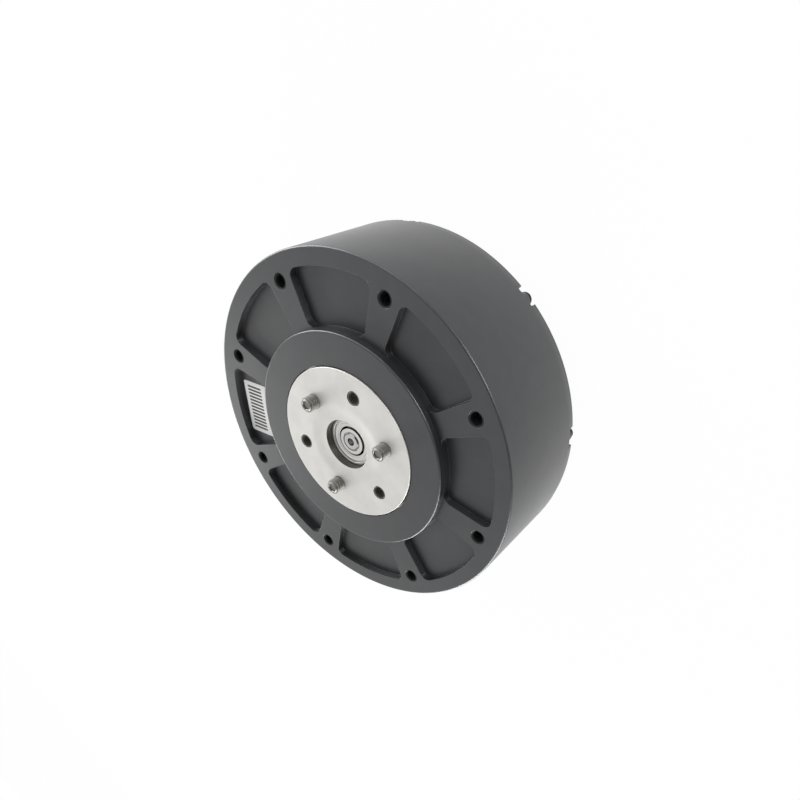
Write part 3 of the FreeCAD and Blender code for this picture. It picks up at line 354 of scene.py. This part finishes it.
def grained(name, colour, metallic, roughness, grain, depth, spread, tints=None, **more):
    """A surface with a fine grain of a real size, and a little change of roughness and colour."""
    material, shader, place = new_material(name, colour, metallic, roughness, **more)
    link = material.node_tree.links.new
    noise = add(material, "ShaderNodeTexNoise", {"Scale": 1 / (grain * MM), "Detail": 3.0},
                [(place, "Vector")])
    bump = add(material, "ShaderNodeBump", {"Strength": depth, "Distance": GRAIN_HEIGHT * MM},
               [(noise.outputs["Fac"], "Height")])
    link(bump.outputs["Normal"], shader.inputs["Normal"])
    wide = add(material, "ShaderNodeTexNoise", {"Scale": 1 / (SHEEN_PATCH * MM), "Detail": 2.0},
               [(place, "Vector")])
    band = add(material, "ShaderNodeMapRange", {"To Min": roughness - spread, "To Max": roughness + spread},
               [(wide.outputs["Fac"], "Value")])
    link(band.outputs["Result"], shader.inputs["Roughness"])
    if tints:
        patch = add(material, "ShaderNodeTexNoise", {"Scale": 1 / (TINT_PATCH * MM), "Detail": 4.0},
                    [(place, "Vector")])
        ramp = add(material, "ShaderNodeValToRGB", {}, [(patch.outputs["Fac"], "Fac")])
        for stop, position, tint in zip(ramp.color_ramp.elements, (0.35, 0.65), tints):
            stop.position = position
            stop.color = linear(tint)
        link(ramp.outputs["Color"], shader.inputs["Base Color"])
    return material


def ridged(name, colour, metallic, roughness, pitch, depth, height):
    """A surface with even ridges along Z, as on a winding or a stack of sheets."""
    material, shader, place = new_material(name, colour, metallic, roughness)
    wave = add(material, "ShaderNodeTexWave", {"Scale": 1 / (pitch * MM), "bands_direction": "Z"},
               [(place, "Vector")])
    ridge = add(material, "ShaderNodeBump", {"Strength": depth, "Distance": height * MM},
                [(wave.outputs["Fac"], "Height")])
    material.node_tree.links.new(ridge.outputs["Normal"], shader.inputs["Normal"])
    return material


# Each line: name, colour, metallic, roughness, grain in mm, depth of the grain, spread of the roughness.
# Black anodised aluminium, bead blasted before anodising: an even dark satin with a very fine grain.
# The clear layer over it is the sealed oxide, which shines white along the silhouette.
black_anodised = grained("black anodised aluminium", "2f3032", 0.75, 0.42, 0.22, 0.10, 0.03,
                         ("2d2e30", "313234"), Coat_Weight=0.8, Coat_Roughness=0.4)

# Clear anodised aluminium, fine turned and blasted: bright and soft.
clear_anodised = grained("clear anodised aluminium", "cccbc7", 0.8, 0.55, 0.16, 0.12, 0.04,
                         ("c9c8c4", "cfceca"))

# Bearing steel, ground: smooth, bright grey, with tight reflections.
bearing_steel = grained("ground bearing steel", "b9b9b7", 1.0, 0.22, 0.3, 0.03, 0.05)

# Pressed steel of the bearing shield: rolled sheet, a little duller than the balls.
shield_steel = grained("pressed shield steel", "cfcecb", 1.0, 0.4, 0.4, 0.06, 0.05)

# Stainless set screws, thread rolled: mid grey metal with dark roots.
stud_steel = grained("rolled stainless steel", "82817c", 1.0, 0.48, 0.25, 0.1, 0.06)

# Threads of the rim holes: black anodised, given a duller, darker black than the housing as painted shade,
# since they lie deep in the holes.
painted_shade_thread_black = grained("black anodised thread darkened for painted shade", "141416", 0.3, 0.7, 0.2, 0.2, 0.05)

# Threads and bores in the output disc: a darker grey than the finished face round them, painted as the shade
# inside the holes and the bearing recess.
painted_shade_aluminium = grained("aluminium darkened for painted shade", "63625e", 1.0, 0.45, 0.2, 0.2, 0.05)

# Black oxide screws: dark, slightly oily satin.
black_oxide = grained("black oxide steel", "26272a", 1.0, 0.4, 0.3, 0.1, 0.05)

# Polyester label film: smooth white with a faint sheen.
label_film = grained("white polyester film", "f2f2ef", 0.0, 0.35, 0.5, 0.03, 0.04)

# Printed bars on the label, thermal transfer ribbon: flat dark grey.
label_ink = grained("thermal transfer ink", "3c3c3e", 0.0, 0.6, 0.3, 0.05, 0.05)

# Hardened gear steel, hobbed: mid grey with fine tool marks.
gear_steel = grained("hobbed gear steel", "8d8c88", 1.0, 0.32, 0.5, 0.15, 0.06)

# Bronze bushes and cages: warm, sintered and slightly porous.
sintered_bronze = grained("sintered bronze", "a97b45", 1.0, 0.4, 0.25, 0.25, 0.06)

# Enamelled copper wire: orange brown lacquer over metal, with the winding's ridges.
enamelled_copper = ridged("enamelled copper wire", "b4602c", 0.9, 0.3, 3.2, 0.6, 0.15)

# Stacked electrical steel: thin sheets, so fine lines across the axis.
lamination = ridged("electrical steel laminations", "76777a", 1.0, 0.45, 2.2, 0.5, 0.05)

# Nickel plated magnets: bright plated silver with soft edges.
nickel_plate = grained("nickel plated neodymium", "c2bfb6", 1.0, 0.22, 0.6, 0.05, 0.05)

# Circuit board: glossy green solder mask over copper.
solder_mask = grained("green solder mask", "0f4a2a", 0.0, 0.25, 0.8, 0.1, 0.05, ("0d4426", "12512f"))

# Moulded chip packages: dull black epoxy.
chip_epoxy = grained("moulded epoxy", "1b1b1d", 0.0, 0.6, 0.15, 0.2, 0.05)

# Glass filled nylon: moulded black plastic with a faint grain.
black_nylon = grained("glass filled nylon", "202022", 0.0, 0.5, 0.3, 0.2, 0.06)

# Nylon of the power socket: moulded yellow, satin.
yellow_nylon = grained("yellow moulded nylon", "d9a514", 0.0, 0.42, 0.35, 0.12, 0.05)

# Heat resistant plastic of the signal sockets: moulded cream.
cream_plastic = grained("cream moulded polyamide", "e4dcc4", 0.0, 0.45, 0.3, 0.12, 0.05)

# Gold flash over brass contacts.
gold_flash = grained("gold plated brass", "d8ac55", 1.0, 0.25, 0.4, 0.05, 0.05)

# Silicone gap pad: soft pale blue, dull.
gap_pad = grained("silicone gap pad", "8fa6b8", 0.0, 0.7, 0.5, 0.3, 0.05)

NODE_FINISH = {
    "bearing_plate": clear_anodised, "driver_board": solder_mask, "board_screws": stud_steel,
    "power_transistors": chip_epoxy, "thermal_pad": gap_pad, "control_chips": chip_epoxy,
    "capacitors": clear_anodised, "power_socket": yellow_nylon, "power_socket_pins": gold_flash,
    "signal_sockets": cream_plastic, "signal_socket_pins": gold_flash, "stator_core": lamination,
    "stator_insulators": black_nylon, "stator_coils": enamelled_copper, "phase_leads": enamelled_copper,
    "housing_snap_ring": gear_steel, "ring_gear": gear_steel, "main_bearing_outer_ring": bearing_steel,
    "rear_bearing_outer_ring": bearing_steel, "carrier_plate": clear_anodised, "carrier_screws": black_oxide,
    "planet_pins": bearing_steel, "output_snap_ring": gear_steel, "main_bearing_inner_ring": bearing_steel,
    "shaft_bearing_outer_ring": bearing_steel, "rotor_shaft": bearing_steel, "rotor_hub": clear_anodised,
    "rotor_hub_screws": black_oxide, "rotor_ring": gear_steel, "rotor_magnets": nickel_plate,
    "encoder_magnet": nickel_plate, "sun_gear": gear_steel, "shaft_bearing_inner_ring": bearing_steel,
    "rear_bearing_inner_ring": bearing_steel, "rear_cover": black_anodised, "rear_cover_screws": black_oxide,
    "housing": black_anodised, "output_flange": clear_anodised, "output_studs": stud_steel,
    "blank_label": label_film, "shaft_bearing_shield": shield_steel,
}
for place in ("main", "shaft", "rear"):
    NODE_FINISH[place + "_bearing_balls"] = bearing_steel
    NODE_FINISH[place + "_bearing_cage"] = sintered_bronze
for number in (1, 2, 3):
    NODE_FINISH["planet_gear_%d" % number] = gear_steel
    NODE_FINISH["planet_bush_%d" % number] = sintered_bronze
for node, material in NODE_FINISH.items():
    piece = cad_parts[node]
    for slot in piece.material_slots:
        slot.material = material


# ---------------------------------------------------------------- housing
def sector_outline(inset):
    """A front pocket seen from above, made smaller all round by the inset."""
    outer, inner = POCKET_OUTER_R - inset, POCKET_INNER_R + max(inset, 0)
    side = math.radians(STEP / 2 - RIB_HALF_ANGLE)
    points = []
    for radius, curve, sign in ((outer, POCKET_ROUNDS[0] - inset, 1), (inner, POCKET_ROUNDS[1] - inset, -1)):
        centre_r = radius - sign * curve
        lean = math.asin((curve + inset) / centre_r)
        middle = side - lean
        corner = []
        sweep = math.pi / 2 + sign * lean
        for step in range(CORNER_STEPS + 1):
            bend = sweep * step / CORNER_STEPS
            turn = middle + bend if sign > 0 else middle + math.pi - bend
            corner.append((centre_r * math.cos(middle) + curve * math.cos(turn),
                           centre_r * math.sin(middle) + curve * math.sin(turn)))
        start = middle if sign > 0 else -middle
        arc = []
        for step in range(1, ARC_STEPS):
            turn = start - 2 * start * step / ARC_STEPS
            arc.append((radius * math.cos(turn), radius * math.sin(turn)))
        if sign > 0:
            half = corner[::-1] + arc + [(x, -y) for x, y in corner]
        else:
            half = [(x, -y) for x, y in corner[::-1]] + arc + corner
        points += half
    return points


def loop_at(bm, outline, height, turn=0.0, shift=(0.0, 0.0)):
    """A ring of vertices from a flat outline, moved out along a radius and turned about the axis."""
    cos, sin = math.cos(math.radians(turn)), math.sin(math.radians(turn))
    verts = []
    for x, y in outline:
        x, y = x + shift[0], y + shift[1]
        verts.append(bm.verts.new(((x * cos - y * sin) * MM, (x * sin + y * cos) * MM, height * MM)))
    return verts


def skin(bm, loops):
    """Joins loops of equal length with quads and returns the edges of the first loop."""
    for lower, upper in zip(loops, loops[1:]):
        for index in range(len(lower)):
            bm.faces.new((lower[index - 1], lower[index], upper[index], upper[index - 1]))
    rim = loops[0]
    return [bm.edges.get((rim[index - 1], rim[index])) for index in range(len(rim))]


def circle(radius, steps=SMALL):
    return [(radius * math.cos(2 * math.pi * step / steps), radius * math.sin(2 * math.pi * step / steps))
            for step in range(steps)]


def pocket_surface(bm, turn):
    """Broken edge, wall, rounded foot and floor of one pocket; returns the edges round its mouth."""
    stations = []
    edge_steps, foot_steps = 3, 5
    for step in range(edge_steps + 1):
        bend = math.pi / 2 * step / edge_steps
        stations.append((-EDGE_BREAK * (1 - math.sin(bend)), FRONT - EDGE_BREAK * (1 - math.cos(bend))))
    floor = FRONT - POCKET_DEPTH
    for step in range(foot_steps + 1):
        bend = math.pi / 2 * step / foot_steps
        stations.append((FLOOR_ROUND * (1 - math.cos(bend)), floor + FLOOR_ROUND * (1 - math.sin(bend))))
    loops = [loop_at(bm, sector_outline(inset), height, turn) for inset, height in stations]
    mouth = skin(bm, loops)
    bm.faces.new(loops[-1])
    return mouth


def hole_surface(bm, top, depth, circle_r, turn):
    """A blind hole for an M4 thread, with its edge broken; returns the edges round its mouth."""
    radius = M4_R + THREAD_SEAT
    stations = [(radius + MOUTH, top), (radius, top - MOUTH), (radius, top - depth)]
    loops = [loop_at(bm, circle(size), height, turn, (circle_r, 0)) for size, height in stations]
    mouth = skin(bm, loops)
    bm.faces.new(loops[-1])
    return mouth


def flat_fill(bm, rims):
    """Fills the flat face between the given rims."""
    bmesh.ops.triangle_fill(bm, edges=rims, use_beauty=True, use_dissolve=False, normal=(0, 0, 1))


def make_housing():
    """The machined shell: turned section, pockets, tapped holes, and the notched rear edge."""
    bm = bmesh.new()
    step_r = BODY_R - REAR_STEP
    step_z = REAR_EDGE + REAR_BAND
    groove_low = MAIN_LOW - RING_THICK
    groove_r = MAIN_OUTER_R + RING_BITE
    gap_r = OUTPUT_R + OUTPUT_GAP
    lip_low = MAIN_TOP + LIP_RELIEF
    rims = lathe(bm, [
        (BODY_R - FRONT_ROUND, FRONT, 0), (BODY_R, FRONT, FRONT_ROUND),
        (BODY_R, REAR_EDGE + NOTCH_DEPTH + NOTCH_CLEAR, 0), (BODY_R, step_z, TURNED_EDGE),
        (step_r, step_z, TOOL_NOSE), (step_r, REAR_EDGE, EDGE_BREAK), (PLATE_BORE_R, REAR_EDGE, EDGE_BREAK),
        (PLATE_BORE_R, LEDGE, 0), (STATOR_BORE_R, LEDGE, TURNED_EDGE),
        (STATOR_BORE_R, CEILING, CEILING_ROUND), (SLEEVE_R, CEILING, CEILING_ROUND),
        (SLEEVE_R, SLEEVE_END, SLEEVE_ROUND),
        (GEAR_SEAT_R, SLEEVE_END, SLEEVE_ROUND), (GEAR_SEAT_R, GEAR_STOP, 0),
        (MAIN_OUTER_R, GEAR_STOP, TURNED_EDGE), (MAIN_OUTER_R, groove_low, TOOL_NOSE),
        (groove_r, groove_low, 0), (groove_r, MAIN_LOW, 0), (MAIN_OUTER_R, MAIN_LOW, TOOL_NOSE),
        (MAIN_OUTER_R, MAIN_TOP, TURNED_EDGE), (MAIN_SHOULDER_R, MAIN_TOP, TURNED_EDGE),
        (MAIN_SHOULDER_R, lip_low, 0), (gap_r, lip_low, TURNED_EDGE), (gap_r, BOSS_TOP, EDGE_BREAK),
        (BOSS_R, BOSS_TOP, BOSS_ROUND), (BOSS_R, FRONT, 0)], FINE, closed=False)
    for index in range(SPOKES):
        rims += pocket_surface(bm, STEP * (index + 0.5))
        rims += hole_surface(bm, FRONT, MOUNT_DEPTH, MOUNT_CIRCLE_R, STEP * index)
    flat_fill(bm, rims)
    piece = mesh_of("housing_shell", bm)
    notches, bay, screws = bmesh.new(), bmesh.new(), bmesh.new()
    notch_size = (2 * (BODY_R - PLATE_BORE_R) + 4, NOTCH_WIDTH, 2 * NOTCH_DEPTH)
    screw_end = REAR_EDGE + NOTCH_DEPTH + COVER_SCREW_DEPTH
    for index in range(SPOKES):
        turn = STEP * (index + 0.5)
        brick(notches, notch_size, (*polar(BODY_R, turn), REAR_EDGE), turn)
        drum(screws, COVER_SCREW_R, REAR_EDGE + 1, screw_end, *polar(LUG_CIRCLE_R, turn), COARSE)
    bay_size = (NOSE_WIDTH + 2 * COVER_WALL + 2 * NOSE_GAP, BAY_LENGTH, 2 * NOTCH_DEPTH + NOSE_GAP)
    brick(bay, bay_size, (0, BODY_R, REAR_EDGE))
    carve(piece, [mesh_of("notch_tool", notches), mesh_of("bay_tool", bay), mesh_of("screw_tool", screws)])
    smooth(piece)
    crisp_flats(piece)
    finish_piece(piece, "housing", "black_anodised", black_anodised, "housing")


# One turn of a thread: 0 at the root and 1 at the crest, with its share of the pitch.
THREAD_FORM = ((0, 0.0), (0, 0.13), (1, 0.46), (1, 0.58), (0, 0.91), (0, 1.0))


def thread(bm, core_r, crest_r, pitch, low, high, x, y, wall_r=None, steps=SMALL):
    """A helical thread between two heights: a rod, or a sleeve when wall_r gives its outer radius."""
    turns = int((high - low) / pitch) + 3
    start = low - pitch * 1.5
    verts = []
    for out, share in THREAD_FORM:
        radius = core_r + out * (crest_r - core_r)
        verts.append(bm.verts.new((radius * MM, 0, (start + share * pitch) * MM)))
    edges = [bm.edges.new(pair) for pair in zip(verts, verts[1:])]
    bmesh.ops.spin(bm, geom=verts + edges, cent=(0, 0, 0), axis=(0, 0, 1),
                   dvec=(0, 0, pitch * MM / steps), angle=2 * math.pi * turns, steps=steps * turns,
                   use_merge=False, use_duplicate=False)
    bmesh.ops.remove_doubles(bm, verts=bm.verts[:], dist=2e-7)
    for height, side in ((low, -1), (high, 1)):
        bmesh.ops.bisect_plane(bm, geom=bm.verts[:] + bm.edges[:] + bm.faces[:], dist=1e-8,
                               plane_co=(0, 0, height * MM), plane_no=(0, 0, side), clear_outer=True)
    if wall_r is None:
        bmesh.ops.holes_fill(bm, edges=[edge for edge in bm.edges if edge.is_boundary], sides=0)
    else:
        outer = [[bm.verts.new((px * MM, py * MM, height * MM)) for px, py in circle(wall_r, steps)]
                 for height in (low, high)]
        skin(bm, outer)
        for height in (low, high):
            ring = [edge for edge in bm.edges if edge.is_boundary
                    and all(abs(vert.co.z - height * MM) < 1e-6 for vert in edge.verts)]
            bmesh.ops.bridge_loops(bm, edges=ring)
    bmesh.ops.translate(bm, verts=bm.verts[:], vec=(x * MM, y * MM, 0))


def merged(parts):
    """One mesh from several."""
    scratch = bpy.data.meshes.new("scratch")
    bm = bmesh.new()
    for part in parts:
        part.to_mesh(scratch)
        bm.from_mesh(scratch)
        part.free()
    bpy.data.meshes.remove(scratch)
    return bm


def hole_threads(name, circle_r, count, start, top, depth):
    """The threads of a circle of tapped holes, as sleeves that line them."""
    parts = []
    for index in range(count):
        x, y = polar(circle_r, start + index * 360 / count)
        sleeve = bmesh.new()
        thread(sleeve, M4_R, M4_CORE_R, M4_PITCH, top - depth + THREAD_END, top - MOUTH, x, y,
               M4_R + THREAD_SEAT - SLEEVE_GAP, COARSE)
        parts.append(sleeve)
    piece = mesh_of(name, merged(parts))
    smooth(piece, THREAD_CREASE)
    return piece


def make_rim_threads():
    piece = hole_threads("rim_hole_threads", MOUNT_CIRCLE_R, SPOKES, 0, FRONT, MOUNT_DEPTH)
    # The threads take the darker black: painted shade.
    finish_piece(piece, "housing", "black_anodised", painted_shade_thread_black)


def make_output_threads():
    piece = hole_threads("output_hole_threads", TAP_CIRCLE_R, OUTPUTS, TAP_ANGLE, OUTPUT_FACE, TAP_DEPTH)
    # The threads take the darker grey: painted shade.
    finish_piece(piece, "output", "machined_aluminium", painted_shade_aluminium)


# ---------------------------------------------------------------- output
def make_output():
    """The disc with its shallow dish, bearing seat and snap ring groove, and the posts behind it."""
    bm = bmesh.new()
    dish = OUTPUT_FACE - DISH_DEPTH
    groove_low = MAIN_LOW - RING_THICK
    groove_r = HUB_R - RING_BITE
    rims = lathe(bm, [
        (DISH_R + 2 * DISH_SLOPE, OUTPUT_FACE, 0), (DISH_R + DISH_SLOPE, OUTPUT_FACE, DISH_ROUND),
        (DISH_R - DISH_SLOPE, dish, DISH_ROUND), (BEARING_R, dish, RECESS_EDGE),
        (BEARING_R, BEARING_LOW, TOOL_NOSE), (HUB_HOLE_R, BEARING_LOW, TURNED_EDGE),
        (HUB_HOLE_R, HUB_LOW, HUB_EDGE), (HUB_R, HUB_LOW, HUB_EDGE), (HUB_R, groove_low, TOOL_NOSE),
        (groove_r, groove_low, 0), (groove_r, MAIN_LOW, 0), (HUB_R, MAIN_LOW, TOOL_NOSE),
        (HUB_R, MAIN_TOP, TOOL_NOSE), (OUTPUT_R, MAIN_TOP, TURNED_EDGE), (OUTPUT_R, OUTPUT_FACE, OUTPUT_EDGE),
        (OUTPUT_R - 2 * OUTPUT_EDGE, OUTPUT_FACE, 0)], FINE, closed=False)
    for index in range(OUTPUTS):
        turn = TAP_ANGLE + 360 / OUTPUTS * index
        rims += hole_surface(bm, OUTPUT_FACE, TAP_DEPTH, TAP_CIRCLE_R, turn)
        rims += hole_surface(bm, OUTPUT_FACE, STUD_DEPTH, STUD_CIRCLE_R, turn - 180 / OUTPUTS)
    flat_fill(bm, rims)
    for index in range(OUTPUTS):
        x, y = polar(POST_CIRCLE_R, POST_ANGLE + 360 / OUTPUTS * index)
        drum(bm, POST_R, POST_LOW, HUB_LOW + POST_LAP, x, y)
    piece = mesh_of("output_disc", bm)
    smooth(piece)
    crisp_flats(piece)
    finish_piece(piece, "output", "machined_aluminium", clear_anodised, "output_flange")
    # The walls of the bearing recess take the darker grey: painted shade.
    piece.data.materials.append(painted_shade_aluminium)
    for face in piece.data.polygons:
        in_bore = math.hypot(*face.center[:2]) < (BEARING_R + TOOL_NOSE) * MM
        if in_bore and face.center.z > BEARING_LOW * MM:
            face.material_index = 1


def hexagon_loop(flats):
    """A six-sided outline with its sides divided, so that it can be skinned to a circle."""
    corner = flats / math.sqrt(3)
    steps = SMALL // 6
    points = []
    for index in range(6):
        ax, ay = polar(corner, 60 * index)
        bx, by = polar(corner, 60 * (index + 1))
        for step in range(steps):
            points.append((ax + (bx - ax) * step / steps, ay + (by - ay) * step / steps))
    return points


def make_studs():
    """Threaded rods, each with a plain chamfered tip and a hexagon socket."""
    parts = []
    top = OUTPUT_FACE + STUD_PROUD
    thread_low, thread_end = OUTPUT_FACE - STUD_DEPTH, top - STUD_END
    tip_r = M4_CORE_R + 0.02
    for index in range(OUTPUTS):
        turn = STUD_ANGLE + 360 / OUTPUTS * index
        rod = bmesh.new()
        thread(rod, M4_CORE_R, M4_R, M4_PITCH, thread_low, thread_end, *polar(STUD_CIRCLE_R, turn))
        parts.append(rod)
        tip = bmesh.new()
        outlines = ((circle(M4_CORE_R - 0.1), thread_end - 0.2), (circle(tip_r), thread_end),
                    (circle(tip_r), top - 0.25), (circle(M4_CORE_R - STUD_TIP_BREAK), top),
                    (hexagon_loop(STUD_FLATS + SOCKET_MOUTH), top), (hexagon_loop(STUD_FLATS), top - 0.18),
                    (hexagon_loop(STUD_FLATS), top - STUD_SOCKET),
                    (circle(0.1), top - STUD_SOCKET - SOCKET_DRILL))
        loops = [loop_at(tip, outline, height, turn, (STUD_CIRCLE_R, 0)) for outline, height in outlines]
        skin(tip, loops)
        tip.faces.new(loops[0])
        tip.faces.new(loops[-1])
        parts.append(tip)
    piece = mesh_of("threaded_studs", merged(parts))
    smooth(piece, THREAD_CREASE)
    finish_piece(piece, "output", "steel", stud_steel, "output_studs")


def turned_ring(name, section, body, node):
    """A bearing part turned from its section."""
    bm = bmesh.new()
    lathe(bm, section, MEDIUM)
    piece = mesh_of(name, bm)
    smooth(piece)
    finish_piece(piece, body, "steel", shield_steel, node)


def make_shaft_bearing():
    """Rings and pressed shield of the bearing in the middle of the output."""
    low, top = BEARING_LOW, BEARING_TOP
    seat_r = RING_LIP_R - LIP_STEP
    turned_ring("shaft_bearing_outer", [
        (BEARING_R, low, 0.3), (BEARING_R, top, 0.35), (RING_LIP_R, top, 0.12),
        (RING_LIP_R, top - LIP_STEP, 0), (seat_r, top - LIP_STEP, 0.1), (seat_r, low, 0.1)],
        "output", "shaft_bearing_outer_ring")
    rim_r = RING_LIP_R + 0.02
    rim_low = top - LIP_STEP - 0.01
    turned_ring("pressed_bearing_shield", [
        (rim_r, rim_low, 0.05), (rim_r, top - SHIELD_DOWN, 0.08), (SHIELD_STEP_R, top - SHIELD_DOWN, 0.1),
        (SHIELD_STEP_R - 0.25, top - SHIELD_DISH, 0.1), (SHIELD_R, top - SHIELD_DISH, 0.06),
        (SHIELD_R, top - SHIELD_BACK, 0.05), (SHIELD_STEP_R - 0.2, top - SHIELD_BACK, 0.1),
        (SHIELD_STEP_R + 0.1, rim_low, 0.1)], "output", "shaft_bearing_shield")
    groove_r = SHAFT_R + GROOVE_WIDTH
    turned_ring("shaft_bearing_inner", [
        (SHAFT_R, low, 0.2), (SHAFT_R, top - GROOVE_DEPTH, 0), (groove_r, top - GROOVE_DEPTH, 0),
        (groove_r, top, 0.06), (INNER_RING_R, top, 0.1), (INNER_RING_R, low, 0.15)],
        "rotor", "shaft_bearing_inner_ring")


def make_label():
    """A plain white sticker with rounded corners and a few even bars that say nothing."""
    low = low_of("blank_label")
    middle = Vector(polar(LABEL_R, LABEL_ANGLE))

    def sheet(bm, centre, size, corner, bottom, thick):
        """A flat sheet with rounded corners, at a place on the label."""
        outline = []
        for index, (sx, sy) in enumerate(((1, 1), (-1, 1), (-1, -1), (1, -1))):
            for step in range(5):
                turn = math.radians(90 * index + 22.5 * step)
                outline.append((centre[0] + sx * (size[0] / 2 - corner) + corner * math.cos(turn),
                                centre[1] + sy * (size[1] / 2 - corner) + corner * math.sin(turn)))
        turn = Matrix.Rotation(math.radians(LABEL_TURN), 2)
        placed = [(turn @ Vector(point)) + middle for point in outline]
        loops = [loop_at(bm, placed, bottom), loop_at(bm, placed, bottom + thick)]
        skin(bm, loops)
        bm.faces.new(loops[0])
        bm.faces.new(loops[1])

    bm = bmesh.new()
    sheet(bm, (0, 0), (LABEL_LENGTH, LABEL_WIDTH), LABEL_CORNER, low, LABEL_THICK)
    piece = mesh_of("blank_sticker", bm)
    finish_piece(piece, "housing", "white_film", label_film, "blank_label")
    bm = bmesh.new()
    for index in range(BAR_COUNT):
        along = (index - (BAR_COUNT - 1) / 2) * BAR_PITCH
        sheet(bm, (along, BAR_SHIFT), BAR_SIZE, 0.02, low + LABEL_THICK, INK_THICK)
    finish_piece(mesh_of("sticker_bars", bm), "housing", "white_film", label_ink)


# ---------------------------------------------------------------- build
make_housing()
make_rim_threads()
make_output()
make_output_threads()
make_studs()
make_shaft_bearing()
make_label()


# ---------------------------------------------------------------- studio, in metres
WORLD_LIGHT = 0.7        # what the matt surfaces get from all round
FLOOR_WHITE = 0.97       # the rest of the floor takes the object's shadow
FLOOR_SIZE = 3.0
AIM = (0, 0, 0.02)       # middle of the object
FOCAL_LENGTH = 28.43325  # in millimetres, on a sensor 36 mm wide
SHIFT = (-0.056375, 0.147125)
CAMERA_PLACE = (0.03229, -0.13029, 0.14247)
CAMERA_RIGHT = (-0.3533, -0.743, -0.5685)
CAMERA_AHEAD = (-0.3488, 0.6685, -0.6568)
CARD_SIZE = 0.5
CARD_PLACES = ((0.14, -0.5, 0.46), (-0.31, -0.44, 0.43))
SOFTBOXES = (            # name, place, width and height, watts
    ("left box", (-0.85, 0.15, 0.16), (0.8, 0.3), 9),
    ("right box", (0.8, 0.45, 0.16), (0.7, 0.3), 8),
    ("right front box", (0.85, -0.3, 0.15), (0.4, 0.26), 1.5),
    ("front box", (0.16, -0.9, 0.16), (0.2, 0.3), 5),
    ("rear box", (-0.05, 0.9, 0.15), (0.3, 0.26), 1.6),
)


def facing(place):
    """The turn that points a lamp or a card at the object."""
    return (Vector(AIM) - Vector(place)).to_track_quat("-Z", "Y")


def directly_seen(material):
    """1 where the eye, a gloss or a clear body looks at the surface, and 0 where it only gives light."""
    path = add(material, "ShaderNodeLightPath")
    seen = add(material, "ShaderNodeMath", {"operation": "MAXIMUM"},
               [(path.outputs["Is Camera Ray"], 0), (path.outputs["Is Glossy Ray"], 1)])
    return add(material, "ShaderNodeMath", {"operation": "MAXIMUM"},
               [(seen.outputs[0], 0), (path.outputs["Is Transmission Ray"], 1)]).outputs[0]


def studio_floor():
    bm = bmesh.new()
    bmesh.ops.create_grid(bm, x_segments=2, y_segments=2, size=FLOOR_SIZE)
    floor = mesh_of("floor", bm)
    material, shader, _ = new_material("pale floor", "f4f4f4", 0.0, 0.9)
    white = add(material, "ShaderNodeEmission", {"Strength": 1.0})
    share = add(material, "ShaderNodeMath", {"operation": "MULTIPLY", 1: FLOOR_WHITE},
                [(directly_seen(material), 0)])
    mix = add(material, "ShaderNodeMixShader", {}, [(share.outputs[0], "Fac"), (shader.outputs["BSDF"], 1),
                                                    (white.outputs["Emission"], 2)])
    tree = material.node_tree
    tree.links.new(mix.outputs["Shader"], tree.nodes["Material Output"].inputs["Surface"])
    floor.data.materials.append(material)


def dark_cards():
    """Matt dark cards that give the rounded edges something dark to show; only gloss sees them."""
    material = new_material("dark card", "1c1c1d", 0.0, 0.9)[0]
    for place in CARD_PLACES:
        bm = bmesh.new()
        bmesh.ops.create_grid(bm, x_segments=1, y_segments=1, size=CARD_SIZE / 2,
                              matrix=Matrix.Translation(place) @ facing(place).to_matrix().to_4x4())
        card = mesh_of("dark_card", bm)
        card.data.materials.append(material)
        card.visible_camera = False
        card.visible_shadow = False


def studio_world():
    world = bpy.data.worlds.new("studio")
    bpy.context.scene.world = world
    world.use_nodes = True
    tree = world.node_tree
    soft = tree.nodes["Background"]
    soft.inputs["Color"].default_value = (1, 1, 1, 1)
    soft.inputs["Strength"].default_value = WORLD_LIGHT
    white = add(world, "ShaderNodeBackground", {"Color": (1, 1, 1, 1), "Strength": 1.0})
    mix = add(world, "ShaderNodeMixShader", {}, [(directly_seen(world), "Fac"),
                                                 (soft.outputs["Background"], 1),
                                                 (white.outputs["Background"], 2)])
    tree.links.new(mix.outputs["Shader"], tree.nodes["World Output"].inputs["Surface"])


def softbox(name, place, size, power):
    lamp = bpy.data.lights.new(name, "AREA")
    lamp.shape = "RECTANGLE"
    lamp.size, lamp.size_y = size
    lamp.energy = power
    lamp_object = bpy.data.objects.new(name, lamp)
    bpy.context.scene.collection.objects.link(lamp_object)
    lamp_object.location = place
    lamp_object.rotation_euler = facing(place).to_euler()


def studio_camera():
    lens = bpy.data.cameras.new("camera")
    lens.sensor_width = 36.0
    lens.lens = FOCAL_LENGTH
    lens.shift_x, lens.shift_y = SHIFT
    lens.clip_start = 0.01
    camera = bpy.data.objects.new("camera", lens)
    bpy.context.scene.collection.objects.link(camera)
    right, ahead = Vector(CAMERA_RIGHT).normalized(), Vector(CAMERA_AHEAD).normalized()
    up = right.cross(ahead).normalized()
    turn = Matrix((right, up, -ahead)).transposed().to_4x4()
    camera.matrix_world = Matrix.Translation(CAMERA_PLACE) @ turn
    bpy.context.scene.camera = camera


studio_floor()
studio_world()
studio_camera()
dark_cards()
for box in SOFTBOXES:
    softbox(*box)
bpy.context.scene.view_settings.view_transform = "Standard"
